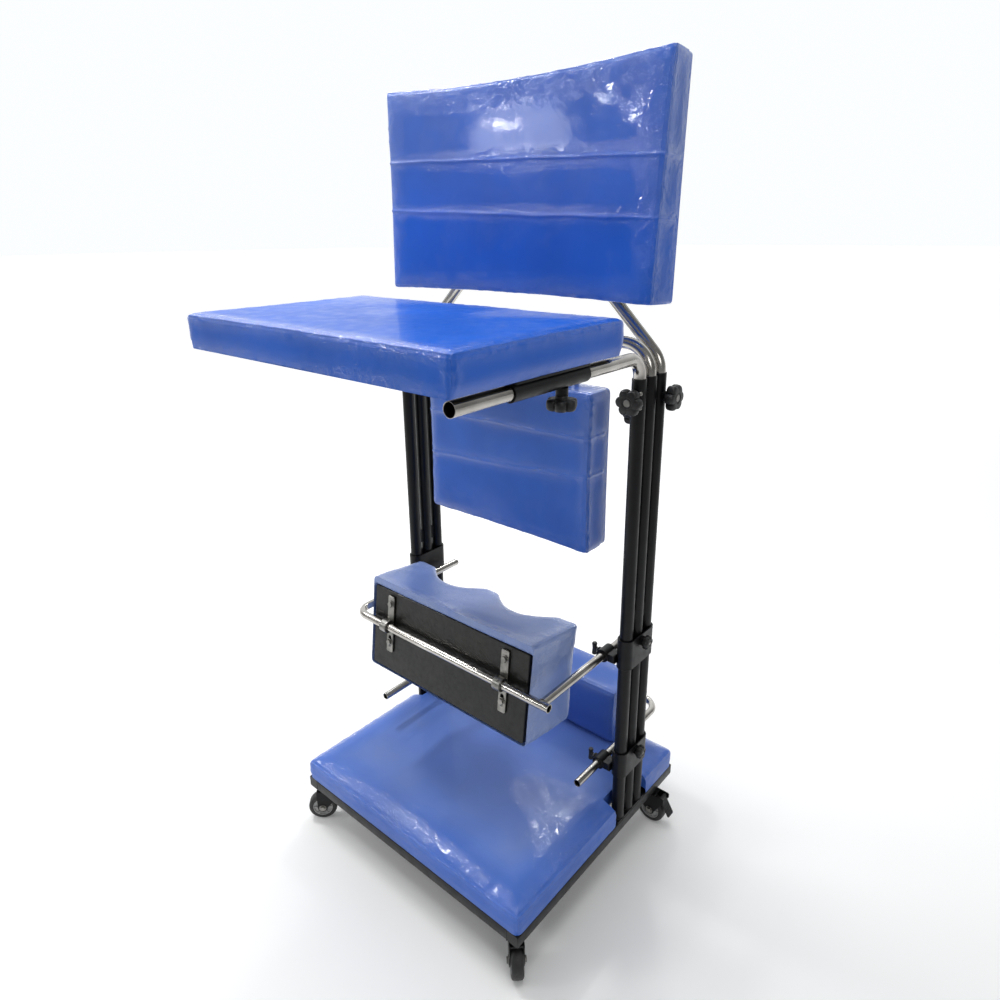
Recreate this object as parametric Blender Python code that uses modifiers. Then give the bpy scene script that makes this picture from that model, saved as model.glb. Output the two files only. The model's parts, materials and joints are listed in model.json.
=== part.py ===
"""Sitting-standing frame: a padded standing support on four casters.

Two columns of three upright tubes stand on a padded footplate. Their inner tubes carry
a tray in front, a hip pad in the middle and a back pad at the rear. Collars on the
columns carry a knee block and a heel block. Metres, +Z up, the user faces -Y.
Lengths along Y are measured from the middle tubes of the columns.
"""
import math

import bmesh
import bpy
from mathutils import Matrix, Vector

# Clearances
GAP = 0.0003
SLIDE = 0.0005
BORE_PLAY = 0.0006
STUD_GAP = 0.0008
ARM_STUD_GAP = 0.0034

# Reach of the whole frame in front of and behind the columns
FRONT_REACH = 0.500
REAR_REACH = 0.200

# Base frame, footplate and footpad
BASE_WIDTH = 0.604
BASE_FRONT = 0.375
BASE_REAR = 0.175
RAIL = 0.0254
RAIL_WALL = 0.0016
MID_RAIL_Y = -0.120
FOOTBOARD_THICK = 0.012
FOOTPAD_HEIGHT = 0.040
FOOTPAD_CROWN = 0.006
FOOTPAD_CORNER = 0.028
FOOT_RIM = 0.008

# Casters
CASTER_HEIGHT = 0.0865
WHEEL_DIAMETER = 0.063
WHEEL_WIDTH = 0.023
TYRE_ROUND = 0.004
HUB_DISH = 0.003
HUB_RADIUS = 0.020
AXLE_RADIUS = 0.004
CASTER_TRAIL = 0.024
CASTER_PLATE = 0.056
CASTER_PLATE_THICK = 0.0025
SWIVEL_RADIUS = 0.019
SWIVEL_HEIGHT = 0.010
FORK_SHEET = 0.002
FORK_CROWN = 0.004
FORK_FOOT = 0.011
CASTER_SIDE_INSET = 0.034
CASTER_FRONT_INSET = 0.034
CASTER_REAR_INSET = 0.060
FRONT_CASTER_TURN = 45.0
BRAKE_PIVOT_X = 0.048
BRAKE_DROP = 0.036
BRAKE_REACH = 0.022
BRAKE_THICK = 0.003
BRAKE_PIN = 0.0025
BRAKE_HUB = 0.0042

# Columns and telescoping tubes
TUBE_OD = 0.0254
TUBE_WALL = 0.0012
TUBE_PITCH = 0.034
COLUMN_TOP = 1.035
COLUMN_FOOT_THICK = 0.004
COLUMN_FOOT_MARGIN = 0.005
WEB_THICK = 0.006
WEB_HEIGHT = 0.030
INNER_OD = 0.0222
INNER_WALL = 0.0012
LEG_LENGTH = 0.420

# Knobs, studs and welded bosses
KNOB_RADIUS = 0.024
KNOB_LOBES = 6
KNOB_WAVE = 0.0034
KNOB_THICK = 0.016
KNOB_HUB_RADIUS = 0.0095
KNOB_HUB_HEIGHT = 0.006
STUD_RADIUS = 0.004
BOSS_RADIUS = 0.0095
BOSS_HEIGHT = 0.004
FRONT_KNOB_DROP = 0.035
MIDDLE_KNOB_DROP = 0.067
REAR_KNOB_DROP = 0.040
BOLT_RADIUS = 0.004
SMALL_KNOB_RADIUS = 0.014
SMALL_KNOB_WAVE = 0.0014
SMALL_KNOB_THICK = 0.012
WING_LENGTH = 0.026
WING_WIDTH = 0.010
WING_THICK = 0.011
WING_NECK = 0.004
WING_BOSS_RADIUS = 0.0065
SCREW_STUD_RADIUS = 0.003

# Tray
TRAY_OVERHANG = 0.0075
TRAY_DEPTH = 0.379
TRAY_PAD_HEIGHT = 0.055
TRAY_CROWN = 0.004
TRAY_BOARD_THICK = 0.012
TRAY_ARM_ENDS = {"left": 0.412, "right": 0.485}
ARM_BEND = 0.035
SLEEVE_FRONT = 0.374
SLEEVE_LENGTH = 0.175
SLEEVE_WALL = 0.002
FLANGE_WIDTH = 0.050
FLANGE_THICK = 0.003
TRAY_KNOB_FROM_FRONT = 0.120
TRAY_BOSS_HEIGHT = 0.010

# Padded boards: shared upholstery sizes
PAD_RIM = 0.009
PAD_EDGE = 0.010
PAD_CORNER = 0.014
PAD_DRAW = 0.003
STRAP_THICK = 0.004
STRAP_WIDTH = 0.026
SLOT_WIDTH = 0.008
SLOT_MARGIN = 0.012
CLAMP_WALL = 0.0045
BOARD_THICK = 0.012

# Hip pad on the middle bar
HIP_BEND = 0.050
HIP_FROM_COLUMN = 0.0843
HIP_HEIGHT = 0.300
HIP_DROP = 0.087
HIP_THICK = 0.066
HIP_CROWN = 0.006
HIP_STRAP_INSET = 0.085
HIP_STRAP_LENGTH = 0.330

# Back pad on the rear bar
BACK_BEND = 0.050
BACK_BAR_RISE = 0.153
BACK_OVERHANG = 0.009
BACK_HEIGHT = 0.376
BACK_BELOW_BAR = 0.035
BACK_THICK = 0.064
BACK_CROWN = 0.005
BACK_LEAN = 2.5
BACK_STRAP_FROM_COLUMN = 0.1843
BACK_STRAP_LENGTH = 0.260
BACK_STRAP_TAIL = 0.022

# Cross bars of the knee and heel blocks
BAR_OD = 0.016
BAR_WALL = 0.0015
BAR_FROM_COLUMN = 0.0393
COLLAR_WALL = 0.003
CLAMP_Y = -0.040
CLAMP_LENGTH = 0.030
CLAMP_BLOCK_HEIGHT = 0.016
COLLAR_KNOB_RISE = 0.016

# Knee block
KNEE_BAR_Z = 0.492
KNEE_BAR_Y = 0.2466
KNEE_BAR_TAIL = 0.060
KNEE_BAR_OVERHANG = 0.018
KNEE_BAR_BEND = 0.030
KNEE_COLLAR_HEIGHT = 0.062
KNEE_COLLAR_RISE = 0.014
KNEE_FROM_BAR = 0.037
KNEE_HEIGHT = 0.200
KNEE_PAD_THICK = 0.128
KNEE_DROP = 0.010
KNEE_TILT = 7.0
KNEE_RECESS_DEPTH = 0.044
KNEE_RECESS_WIDTH = 0.150
KNEE_RECESS_INSET = 0.121
KNEE_STRAP_INSET = 0.058
KNEE_STRAP_LENGTH = 0.125
KNEE_STRAP_WIDTH = 0.018
KNEE_STRAP_THICK = 0.003

# Heel block
HEEL_BAR_Z = 0.240
HEEL_LEG_RIGHT = 0.128
HEEL_LEG_LEFT = 0.188
HEEL_BEND = 0.036
HEEL_COLLAR_HEIGHT = 0.056
HEEL_COLLAR_RISE = 0.012
HEEL_FROM_BAR = 0.050
HEEL_HEIGHT = 0.136
HEEL_ABOVE_FOOTPAD = 0.007
HEEL_PAD_THICK = 0.088
HEEL_CROWN = 0.006
HEEL_TAB_WIDTH = 0.030
HEEL_TAB_HEIGHT = 0.070
HEEL_TAB_THICK = 0.003
HEEL_TAB_INSET = 0.080

# Fineness of round shapes
TUBE_SIDES = 16
PIPE_SIDES = 12
SMALL_SIDES = 10
BEND_STEPS = 5
LOBE_POINTS = 4
EDGE_SPLIT = 0.35
WELD_DISTANCE = 0.00001
OVERSHOOT = 0.002
SHARP_ANGLE = math.radians(35)

# Places that follow from the driving dimensions
COLUMN_Y = (FRONT_REACH - REAR_REACH) / 2
COLUMN_X = BASE_WIDTH / 2 - RAIL / 2
FRAME_TOP = CASTER_HEIGHT + RAIL
FOOT_TOP = FRAME_TOP + GAP + FOOTPAD_HEIGHT + FOOTPAD_CROWN
TUBE_BORE = TUBE_OD / 2 - TUBE_WALL
TUBE_FOOT = FRAME_TOP + GAP
BAR_X = COLUMN_X - BAR_FROM_COLUMN
BAR_RADIUS = BAR_OD / 2
TRAY_WIDTH = BASE_WIDTH + 2 * TRAY_OVERHANG
BACK_WIDTH = BASE_WIDTH + 2 * BACK_OVERHANG
BACK_STRAP_X = COLUMN_X - BACK_STRAP_FROM_COLUMN
HIP_WIDTH = 2 * (COLUMN_X - HIP_FROM_COLUMN)
HIP_STRAP_X = HIP_WIDTH / 2 - HIP_STRAP_INSET
KNEE_WIDTH = 2 * (BAR_X - KNEE_FROM_BAR)
KNEE_STRAP_X = KNEE_WIDTH / 2 - KNEE_STRAP_INSET
KNEE_RECESS_X = KNEE_WIDTH / 2 - KNEE_RECESS_INSET
HEEL_WIDTH = 2 * (BAR_X - HEEL_FROM_BAR)
HEEL_TAB_X = HEEL_WIDTH / 2 - HEEL_TAB_INSET
HIP_BAR_Z = COLUMN_TOP + OVERSHOOT + HIP_BEND
BACK_BAR_Z = COLUMN_TOP + OVERSHOOT + BACK_BAR_RISE
ARM_Z = COLUMN_TOP + OVERSHOOT + ARM_BEND
SLEEVE_BORE = INNER_OD / 2 + SLIDE
SLEEVE_RADIUS = SLEEVE_BORE + SLEEVE_WALL
BOARD_UNDER = ARM_Z + SLEEVE_RADIUS + FLANGE_THICK
TRAY_Y = -FRONT_REACH + TRAY_DEPTH / 2
HEEL_BAR_Y = REAR_REACH - BAR_RADIUS
COLLAR_BORE = TUBE_OD / 2 + SLIDE
STRAP_RING = INNER_OD / 2 + BORE_PLAY + CLAMP_WALL
BAR_CLAMP = BAR_RADIUS + BORE_PLAY + CLAMP_WALL

X_AXIS = Vector((1, 0, 0))
Y_AXIS = Vector((0, 1, 0))
Z_AXIS = Vector((0, 0, 1))
FACING = {
    "X": Matrix.Rotation(math.radians(90), 4, "Y"),
    "Y": Matrix.Rotation(math.radians(-90), 4, "X"),
    "Z": Matrix.Identity(4),
}
FACE_FRONT = (math.radians(90), 0, 0)
FACE_REAR = (math.radians(-90), 0, 0)


def new_collection(name):
    group = bpy.data.collections.new(name)
    bpy.context.scene.collection.children.link(group)
    return group


def clear_scene():
    for item in list(bpy.data.objects):
        bpy.data.objects.remove(item)


clear_scene()
PARTS = new_collection("sitting_standing_frame")
WORKSHOP = new_collection("workshop")


# Materials

def finish(name, colour, roughness, metallic=0.0):
    look = bpy.data.materials.new(name)
    look.use_nodes = True
    shader = look.node_tree.nodes["Principled BSDF"]
    shader.inputs["Base Color"].default_value = (*colour, 1.0)
    shader.inputs["Roughness"].default_value = roughness
    shader.inputs["Metallic"].default_value = metallic
    return look


BLACK_PAINT = finish("black_paint", (0.012, 0.012, 0.014), 0.45)
CHROME = finish("chrome", (0.78, 0.77, 0.74), 0.15, 1.0)
VINYL = finish("blue_vinyl", (0.012, 0.065, 0.42), 0.28)
BOARD = finish("black_board", (0.015, 0.015, 0.016), 0.60)
PLASTIC = finish("black_plastic", (0.016, 0.016, 0.017), 0.40)
ZINC = finish("zinc_steel", (0.62, 0.62, 0.60), 0.35, 1.0)
RUBBER = finish("dark_wheel", (0.03, 0.03, 0.032), 0.50)


# Shape tools

def shape(bm):
    mesh = bpy.data.meshes.new("shape")
    bm.to_mesh(mesh)
    bm.free()
    obj = bpy.data.objects.new("shape", mesh)
    WORKSHOP.objects.link(obj)
    return obj


def box(size, centre=(0, 0, 0)):
    bm = bmesh.new()
    placed = Matrix.Translation(centre) @ Matrix.Diagonal((*size, 1))
    bmesh.ops.create_cube(bm, size=1, matrix=placed)
    return shape(bm)


def span_box(low, high):
    """A box between two opposite corners."""
    low, high = Vector(low), Vector(high)
    return box(high - low, (low + high) / 2)


def cylinder(radius, length, centre=(0, 0, 0), axis="Z", sides=SMALL_SIDES):
    bm = bmesh.new()
    placed = Matrix.Translation(centre) @ FACING[axis]
    bmesh.ops.create_cone(bm, cap_ends=True, segments=sides, radius1=radius, radius2=radius,
                          depth=length, matrix=placed)
    return shape(bm)


def bake(obj):
    """Replace an object's mesh by the result of its modifiers."""
    bpy.context.view_layer.update()
    graph = bpy.context.evaluated_depsgraph_get()
    mesh = bpy.data.meshes.new_from_object(obj.evaluated_get(graph))
    obj.modifiers.clear()
    obj.data = mesh
    return obj


def combine(target, others, operation):
    for other in others:
        step = target.modifiers.new(operation.lower(), "BOOLEAN")
        step.operation = operation
        step.solver = "EXACT"
        step.object = other
    bake(target)
    for other in others:
        bpy.data.objects.remove(other)
    return target


def join(target, *others):
    return combine(target, others, "UNION")


def cut(target, *others):
    return combine(target, others, "DIFFERENCE")


def turned_mesh(obj, matrix):
    """Move the points of a mesh, so that its object stays at its own origin."""
    obj.data.transform(matrix)
    return obj


def mesh_from_curve(curve):
    source = bpy.data.objects.new("curve", curve)
    WORKSHOP.objects.link(source)
    bpy.context.view_layer.update()
    graph = bpy.context.evaluated_depsgraph_get()
    mesh = bpy.data.meshes.new_from_object(source.evaluated_get(graph))
    bpy.data.objects.remove(source)
    bm = bmesh.new()
    bm.from_mesh(mesh)
    bmesh.ops.remove_doubles(bm, verts=bm.verts, dist=WELD_DISTANCE)
    bmesh.ops.recalc_face_normals(bm, faces=bm.faces)
    return shape(bm)


def add_spline(curve, points, closed):
    spline = curve.splines.new("POLY")
    spline.points.add(len(points) - 1)
    for slot, point in zip(spline.points, points):
        slot.co = (*Vector(point).to_3d(), 1)
    spline.use_cyclic_u = closed


def plate(outlines, thickness):
    """A flat plate about z = 0: the first outline is its edge, the others are holes."""
    curve = bpy.data.curves.new("plate", "CURVE")
    curve.dimensions = "2D"
    curve.fill_mode = "BOTH"
    curve.extrude = thickness / 2
    for points in outlines:
        add_spline(curve, points, True)
    return mesh_from_curve(curve)


def rod(points, radius, sides=PIPE_SIDES, capped=True):
    curve = bpy.data.curves.new("rod", "CURVE")
    curve.dimensions = "3D"
    curve.bevel_depth = radius
    curve.bevel_resolution = (sides - 4) // 2
    curve.use_fill_caps = capped
    add_spline(curve, points, False)
    return mesh_from_curve(curve)


def tube(points, radius, wall, sides=PIPE_SIDES):
    """A pipe with open ends along a line of points."""
    pipe = rod(points, radius, sides, capped=False)
    shell = pipe.modifiers.new("wall", "SOLIDIFY")
    shell.thickness = wall
    shell.offset = -1
    shell.use_even_offset = True
    return bake(pipe)


def turned(profile, sides):
    """A closed profile in x and z, turned about the Z axis."""
    mesh = bpy.data.meshes.new("profile")
    count = len(profile)
    edges = [(i, (i + 1) % count) for i in range(count)]
    mesh.from_pydata([(x, 0, z) for x, z in profile], edges, [])
    obj = bpy.data.objects.new("turned", mesh)
    WORKSHOP.objects.link(obj)
    screw = obj.modifiers.new("turn", "SCREW")
    screw.axis = "Z"
    screw.steps = sides
    screw.render_steps = sides
    screw.use_merge_vertices = True
    screw.merge_threshold = WELD_DISTANCE
    bake(obj)
    bm = bmesh.new()
    bm.from_mesh(obj.data)
    bpy.data.objects.remove(obj)
    bmesh.ops.recalc_face_normals(bm, faces=bm.faces)
    return shape(bm)


def arc(centre, radius, first_side, second_side, start, end, steps=BEND_STEPS):
    """Points of a bend, from start to end degrees between two perpendicular directions."""
    points = []
    for i in range(steps + 1):
        angle = math.radians(start + (end - start) * i / steps)
        offset = first_side * math.cos(angle) + second_side * math.sin(angle)
        points.append(Vector(centre) + radius * offset)
    return points


def stadium(half_length, radius, steps=BEND_STEPS):
    """Outline of a slot with round ends, long along its second coordinate."""
    top = arc((0, half_length, 0), radius, X_AXIS, Y_AXIS, 0, 180, steps)
    bottom = arc((0, -half_length, 0), radius, X_AXIS, Y_AXIS, 180, 360, steps)
    return [(point.x, point.y) for point in top + bottom]


def lobed(radius, wave, lobes):
    """Outline of a knob: a circle whose radius swells at each lobe."""
    outline = []
    count = lobes * LOBE_POINTS
    for i in range(count):
        angle = 2 * math.pi * i / count
        reach = radius - wave + wave * math.cos(lobes * angle)
        outline.append((reach * math.cos(angle), reach * math.sin(angle)))
    return outline


def spread(half, corner, cells):
    """Cutting places across a cushion: even cells, and the start of each round corner."""
    inner = half - corner
    return [-inner + 2 * inner * i / cells for i in range(cells + 1)]


def cushion(width, length, height, rise, cells, corner=PAD_CORNER, edge=PAD_EDGE, draw=PAD_DRAW):
    """A padded block standing on z = 0.

    Its plan has round corners and sides drawn in between them, its upper edge is
    round, and rise(x, y) lifts or sinks its top.
    """
    half_w, half_l = width / 2, length / 2
    bm = bmesh.new()
    placed = Matrix.Translation((0, 0, height / 2)) @ Matrix.Diagonal((width, length, height, 1))
    bmesh.ops.create_cube(bm, size=1, matrix=placed)
    levels = [height - edge, height - edge * EDGE_SPLIT]
    planes = [(X_AXIS, x) for x in spread(half_w, corner, cells[0])]
    planes += [(Y_AXIS, y) for y in spread(half_l, corner, cells[1])]
    planes += [(Z_AXIS, z) for z in levels]
    for normal, place in planes:
        bmesh.ops.bisect_plane(bm, geom=bm.verts[:] + bm.edges[:] + bm.faces[:],
                               plane_co=normal * place, plane_no=normal)
    for vert in bm.verts:
        vert.co = cushion_point(vert.co, half_w, half_l, height, rise, corner, edge, draw)
    return shape(bm)


def cushion_point(point, half_w, half_l, height, rise, corner, edge, draw):
    x, y, z = point
    # round the corners of the plan
    core_x = max(-half_w + corner, min(half_w - corner, x))
    core_y = max(-half_l + corner, min(half_l - corner, y))
    out_x, out_y = x - core_x, y - core_y
    far = math.hypot(out_x, out_y)
    if far > 0:
        square = max(abs(out_x), abs(out_y))
        x = core_x + out_x * square / far
        y = core_y + out_y * square / far
    # draw the sides in between the corners
    along_x = min(1.0, abs(x) / (half_w - corner))
    along_y = min(1.0, abs(y) / (half_l - corner))
    drawn_x = x - draw * (1 - along_y ** 2) * (x / half_w) ** 3
    drawn_y = y - draw * (1 - along_x ** 2) * (y / half_l) ** 3
    # round the upper edge
    above = max(0.0, z - (height - edge)) / edge
    inset = edge * (1 - math.sqrt(max(0.0, 1 - above ** 2)))
    drawn_x *= (half_w - inset) / half_w
    drawn_y *= (half_l - inset) / half_l
    return Vector((drawn_x, drawn_y, z + rise(x / half_w, y / half_l) * z / height))


def crowned(height):
    """The swell of a plain cushion, highest at its middle."""
    return lambda u, v: height * (1 - u ** 2) * (1 - v ** 2)


# Placing

def axes_at(name, location, parent=None, turn=(0, 0, 0)):
    """An empty on the axis of a joint, which carries the pieces that move with it."""
    holder = bpy.data.objects.new(name, None)
    PARTS.objects.link(holder)
    holder.parent = parent
    holder.location = location
    holder.rotation_euler = turn
    return holder


def place(obj, name, look, parent, location=(0, 0, 0), turn=(0, 0, 0)):
    obj.name = name
    obj.data.name = name
    obj.data.materials.clear()
    obj.data.materials.append(look)
    obj.data.shade_smooth()
    obj.data.set_sharp_from_angle(angle=SHARP_ANGLE)
    WORKSHOP.objects.unlink(obj)
    PARTS.objects.link(obj)
    obj.parent = parent
    obj.location = location
    obj.rotation_euler = turn
    return obj


def pointing(direction):
    """The turn that points a knob's own Z axis along a direction."""
    return Vector(direction).to_track_quat("Z", "Y").to_euler()


def sides():
    return (("left", -1), ("right", 1))


# Knobs: the seat is at z = 0 and the stud goes down from it

def star_knob(stud_length):
    top = KNOB_HUB_HEIGHT + KNOB_THICK
    head = plate([lobed(KNOB_RADIUS, KNOB_WAVE, KNOB_LOBES)], KNOB_THICK)
    turned_mesh(head, Matrix.Translation((0, 0, top - KNOB_THICK / 2)))
    hub_height = KNOB_HUB_HEIGHT + OVERSHOOT - GAP
    hub = cylinder(KNOB_HUB_RADIUS, hub_height, (0, 0, GAP + hub_height / 2))
    length = stud_length + KNOB_HUB_HEIGHT
    stud = cylinder(STUD_RADIUS, length, (0, 0, KNOB_HUB_HEIGHT - length / 2))
    return join(head, hub, stud)


def small_knob(stud_length):
    head = plate([lobed(SMALL_KNOB_RADIUS, SMALL_KNOB_WAVE, KNOB_LOBES)], SMALL_KNOB_THICK)
    turned_mesh(head, Matrix.Translation((0, 0, GAP + SMALL_KNOB_THICK / 2)))
    length = stud_length + SMALL_KNOB_THICK / 2
    stud = cylinder(STUD_RADIUS, length, (0, 0, SMALL_KNOB_THICK / 2 - length / 2))
    return join(head, stud)


def wing_knob(stud_length):
    outline = stadium(WING_LENGTH / 2 - WING_WIDTH / 2, WING_WIDTH / 2)
    head = plate([outline], WING_THICK)
    turned_mesh(head, Matrix.Translation((0, 0, WING_NECK + WING_THICK / 2)))
    length = stud_length + WING_NECK + OVERSHOOT
    stud = cylinder(SCREW_STUD_RADIUS, length, (0, 0, WING_NECK + OVERSHOOT - length / 2))
    return join(head, stud)


# Base frame with its footplate

def rail_boxes(section, end_inset):
    """The rails of the base: two along the sides and four across, of one square section."""
    half = section / 2
    low, high = -BASE_FRONT + end_inset, BASE_REAR - end_inset
    middle = CASTER_HEIGHT + RAIL / 2
    boxes = []
    for _, side in sides():
        x = side * COLUMN_X
        boxes.append(span_box((x - half, low, middle - half), (x + half, high, middle + half)))
    rear_caster_y = BASE_REAR - CASTER_REAR_INSET
    ends = (-BASE_FRONT + RAIL / 2, MID_RAIL_Y, rear_caster_y, BASE_REAR - RAIL / 2)
    for y in ends:
        boxes.append(span_box((-COLUMN_X, y - half, middle - half), (COLUMN_X, y + half, middle + half)))
    return boxes


def caster_places():
    """Name, side, plan position and turn of each caster, and whether it has a brake."""
    front_y = -BASE_FRONT + CASTER_FRONT_INSET
    rear_y = BASE_REAR - CASTER_REAR_INSET
    x = BASE_WIDTH / 2 - CASTER_SIDE_INSET
    return (
        ("front_left", -x, front_y, -180 + FRONT_CASTER_TURN, False),
        ("front_right", x, front_y, -FRONT_CASTER_TURN, False),
        ("rear_left", -x, rear_y, 180.0, True),
        ("rear_right", x, rear_y, 0.0, True),
    )


def base_frame(root):
    """Square tubes with a plate welded under them for each caster."""
    plates, bolt_holes = [], []
    half = CASTER_PLATE / 2
    for _, x, y, _, _ in caster_places():
        plates.append(span_box((x - half, y - half, CASTER_HEIGHT - CASTER_PLATE_THICK),
                               (x + half, y + half, CASTER_HEIGHT + RAIL_WALL / 2)))
        hole_x = math.copysign(COLUMN_X, x)
        bolt_holes.append(cylinder(BOLT_RADIUS, RAIL, (hole_x, y, CASTER_HEIGHT)))
    outer = join(*rail_boxes(RAIL, 0), *plates)
    hollow = join(*rail_boxes(RAIL - 2 * RAIL_WALL, RAIL_WALL))
    frame = cut(outer, hollow, *bolt_holes)
    place(frame, "base_frame", BLACK_PAINT, root)


def column_notches(grow):
    """Blocks that clear the feet of both columns at the edges of the footplate."""
    inner = COLUMN_X - RAIL / 2 - grow
    outer = BASE_WIDTH / 2 + OVERSHOOT
    half = TUBE_PITCH + TUBE_OD / 2 + COLUMN_FOOT_MARGIN + grow
    low, high = FRAME_TOP - OVERSHOOT, FOOT_TOP + OVERSHOOT
    return [span_box((min(side * inner, side * outer), -half, low),
                     (max(side * inner, side * outer), half, high)) for _, side in sides()]


def foot_board(rim, grow):
    """The footplate board, or, with grow, the pocket for it under the footpad."""
    half = BASE_WIDTH / 2 - rim + grow
    base = FRAME_TOP + GAP - (OVERSHOOT if grow else 0)
    top = FRAME_TOP + GAP + FOOTBOARD_THICK + grow
    board = span_box((-half, -BASE_FRONT + rim - grow, base), (half, BASE_REAR - rim + grow, top))
    return cut(board, *column_notches(2 * FOOT_RIM - grow))


def footplate(root):
    place(foot_board(FOOT_RIM, 0), "footplate_board", BOARD, root)
    pad = cushion(BASE_WIDTH, BASE_FRONT + BASE_REAR, FOOTPAD_HEIGHT, crowned(FOOTPAD_CROWN),
                  (10, 8), corner=FOOTPAD_CORNER)
    turned_mesh(pad, Matrix.Translation((0, (BASE_REAR - BASE_FRONT) / 2, FRAME_TOP + GAP)))
    pad = cut(pad, foot_board(FOOT_RIM, GAP), *column_notches(FOOT_RIM))
    place(pad, "footpad", VINYL, root)


# Casters: each has its own frame at floor level under its swivel

def fork_cheek(y, with_brake):
    """One side sheet of a fork: a wide head that narrows to a round foot on the axle."""
    wheel = WHEEL_DIAMETER / 2
    top = fork_top()
    head = top - FORK_CROWN - FORK_SHEET
    reach = BRAKE_PIVOT_X + 2 * BRAKE_HUB if with_brake else CASTER_TRAIL + FORK_FOOT
    foot = arc((CASTER_TRAIL, wheel, 0), FORK_FOOT, X_AXIS, Y_AXIS, 0, -180)
    outline = [(-SWIVEL_RADIUS, head), (-SWIVEL_RADIUS, top), (reach, top), (reach, head - BRAKE_HUB)]
    outline += [(point.x, point.y) for point in foot]
    sheet = plate([outline], FORK_SHEET)
    upright = Matrix.Translation((0, y, 0)) @ Matrix.Rotation(math.radians(90), 4, "X")
    return turned_mesh(sheet, upright)


def fork_top():
    return CASTER_HEIGHT - CASTER_PLATE_THICK - GAP - SWIVEL_HEIGHT + OVERSHOOT


def brake_pivot_z():
    return fork_top() - FORK_CROWN - BRAKE_HUB / 2


def caster_fork(parent, label, with_brake):
    cheek_y = WHEEL_WIDTH / 2 + SLIDE + FORK_SHEET / 2
    top = fork_top()
    swivel_z = top - OVERSHOOT + SWIVEL_HEIGHT / 2
    head = cylinder(SWIVEL_RADIUS, SWIVEL_HEIGHT, (0, 0, swivel_z), sides=TUBE_SIDES)
    crown_end = CASTER_TRAIL + FORK_FOOT - OVERSHOOT
    crown = span_box((-SWIVEL_RADIUS + OVERSHOOT, -cheek_y, top - FORK_CROWN), (crown_end, cheek_y, top))
    axle_length = 2 * (cheek_y + FORK_SHEET + OVERSHOOT)
    axle = cylinder(AXLE_RADIUS, axle_length, (CASTER_TRAIL, 0, WHEEL_DIAMETER / 2), "Y")
    fork = join(crown, head, fork_cheek(cheek_y, with_brake), fork_cheek(-cheek_y, with_brake), axle)
    if with_brake:
        hole = cylinder(BRAKE_PIN + BORE_PLAY, axle_length, (BRAKE_PIVOT_X, 0, brake_pivot_z()), "Y")
        cut(fork, hole)
    place(fork, "caster_fork_" + label, BLACK_PAINT, parent)


def caster_wheel(parent, label):
    """A wheel that stands on one of its flats."""
    half_facet = math.pi / TUBE_SIDES
    radius, half = WHEEL_DIAMETER / 2 / math.cos(half_facet), WHEEL_WIDTH / 2
    bore = AXLE_RADIUS + BORE_PLAY
    dish = half - HUB_DISH
    rim = radius - TYRE_ROUND
    profile = [(bore, half), (2 * bore, half), (2 * bore, dish), (HUB_RADIUS, dish), (HUB_RADIUS, half),
               (rim, half), (radius, half - TYRE_ROUND)]
    profile += [(x, -z) for x, z in reversed(profile)]
    wheel = turned(profile, TUBE_SIDES)
    turned_mesh(wheel, FACING["Y"] @ Matrix.Rotation(half_facet, 4, "Z"))
    axle = axes_at("axle_" + label, (CASTER_TRAIL, 0, WHEEL_DIAMETER / 2), parent)
    place(wheel, "caster_wheel_" + label, RUBBER, axle)


def brake_pedal(parent, label):
    """A sloping pedal whose hub and pin turn between the cheeks of the fork."""
    half = WHEEL_WIDTH / 2 - SLIDE
    cheek_y = WHEEL_WIDTH / 2 + SLIDE + FORK_SHEET
    pivot = axes_at("brake_axis_" + label, (BRAKE_PIVOT_X, 0, brake_pivot_z()), parent)
    length = math.hypot(BRAKE_REACH, BRAKE_DROP)
    slope = math.atan2(BRAKE_DROP, BRAKE_REACH)
    tread = box((length, 2 * half, BRAKE_THICK), (length / 2, 0, 0))
    turned_mesh(tread, Matrix.Rotation(slope, 4, "Y"))
    hub = cylinder(BRAKE_HUB, 2 * half, axis="Y")
    pin = cylinder(BRAKE_PIN, 2 * cheek_y, axis="Y")
    place(join(tread, hub, pin), "brake_pedal_" + label, PLASTIC, pivot)


def casters(root):
    for label, x, y, turn, with_brake in caster_places():
        swivel = axes_at("swivel_" + label, (x, y, 0), root, (0, 0, math.radians(turn)))
        caster_fork(swivel, label, with_brake)
        caster_wheel(swivel, label)
        if with_brake:
            brake_pedal(swivel, label)


# Columns: three tubes in a row along Y on a welded foot

def knob_seats(side):
    """Name, tube place along Y, height and outward direction of each column knob."""
    return (
        ("front", -TUBE_PITCH, COLUMN_TOP - FRONT_KNOB_DROP, (0, -1, 0)),
        ("middle", 0, COLUMN_TOP - MIDDLE_KNOB_DROP, (-side, 0, 0)),
        ("rear", TUBE_PITCH, COLUMN_TOP - REAR_KNOB_DROP, (side, 0, 0)),
    )


def seat_reach():
    return TUBE_OD / 2 + BOSS_HEIGHT


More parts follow.
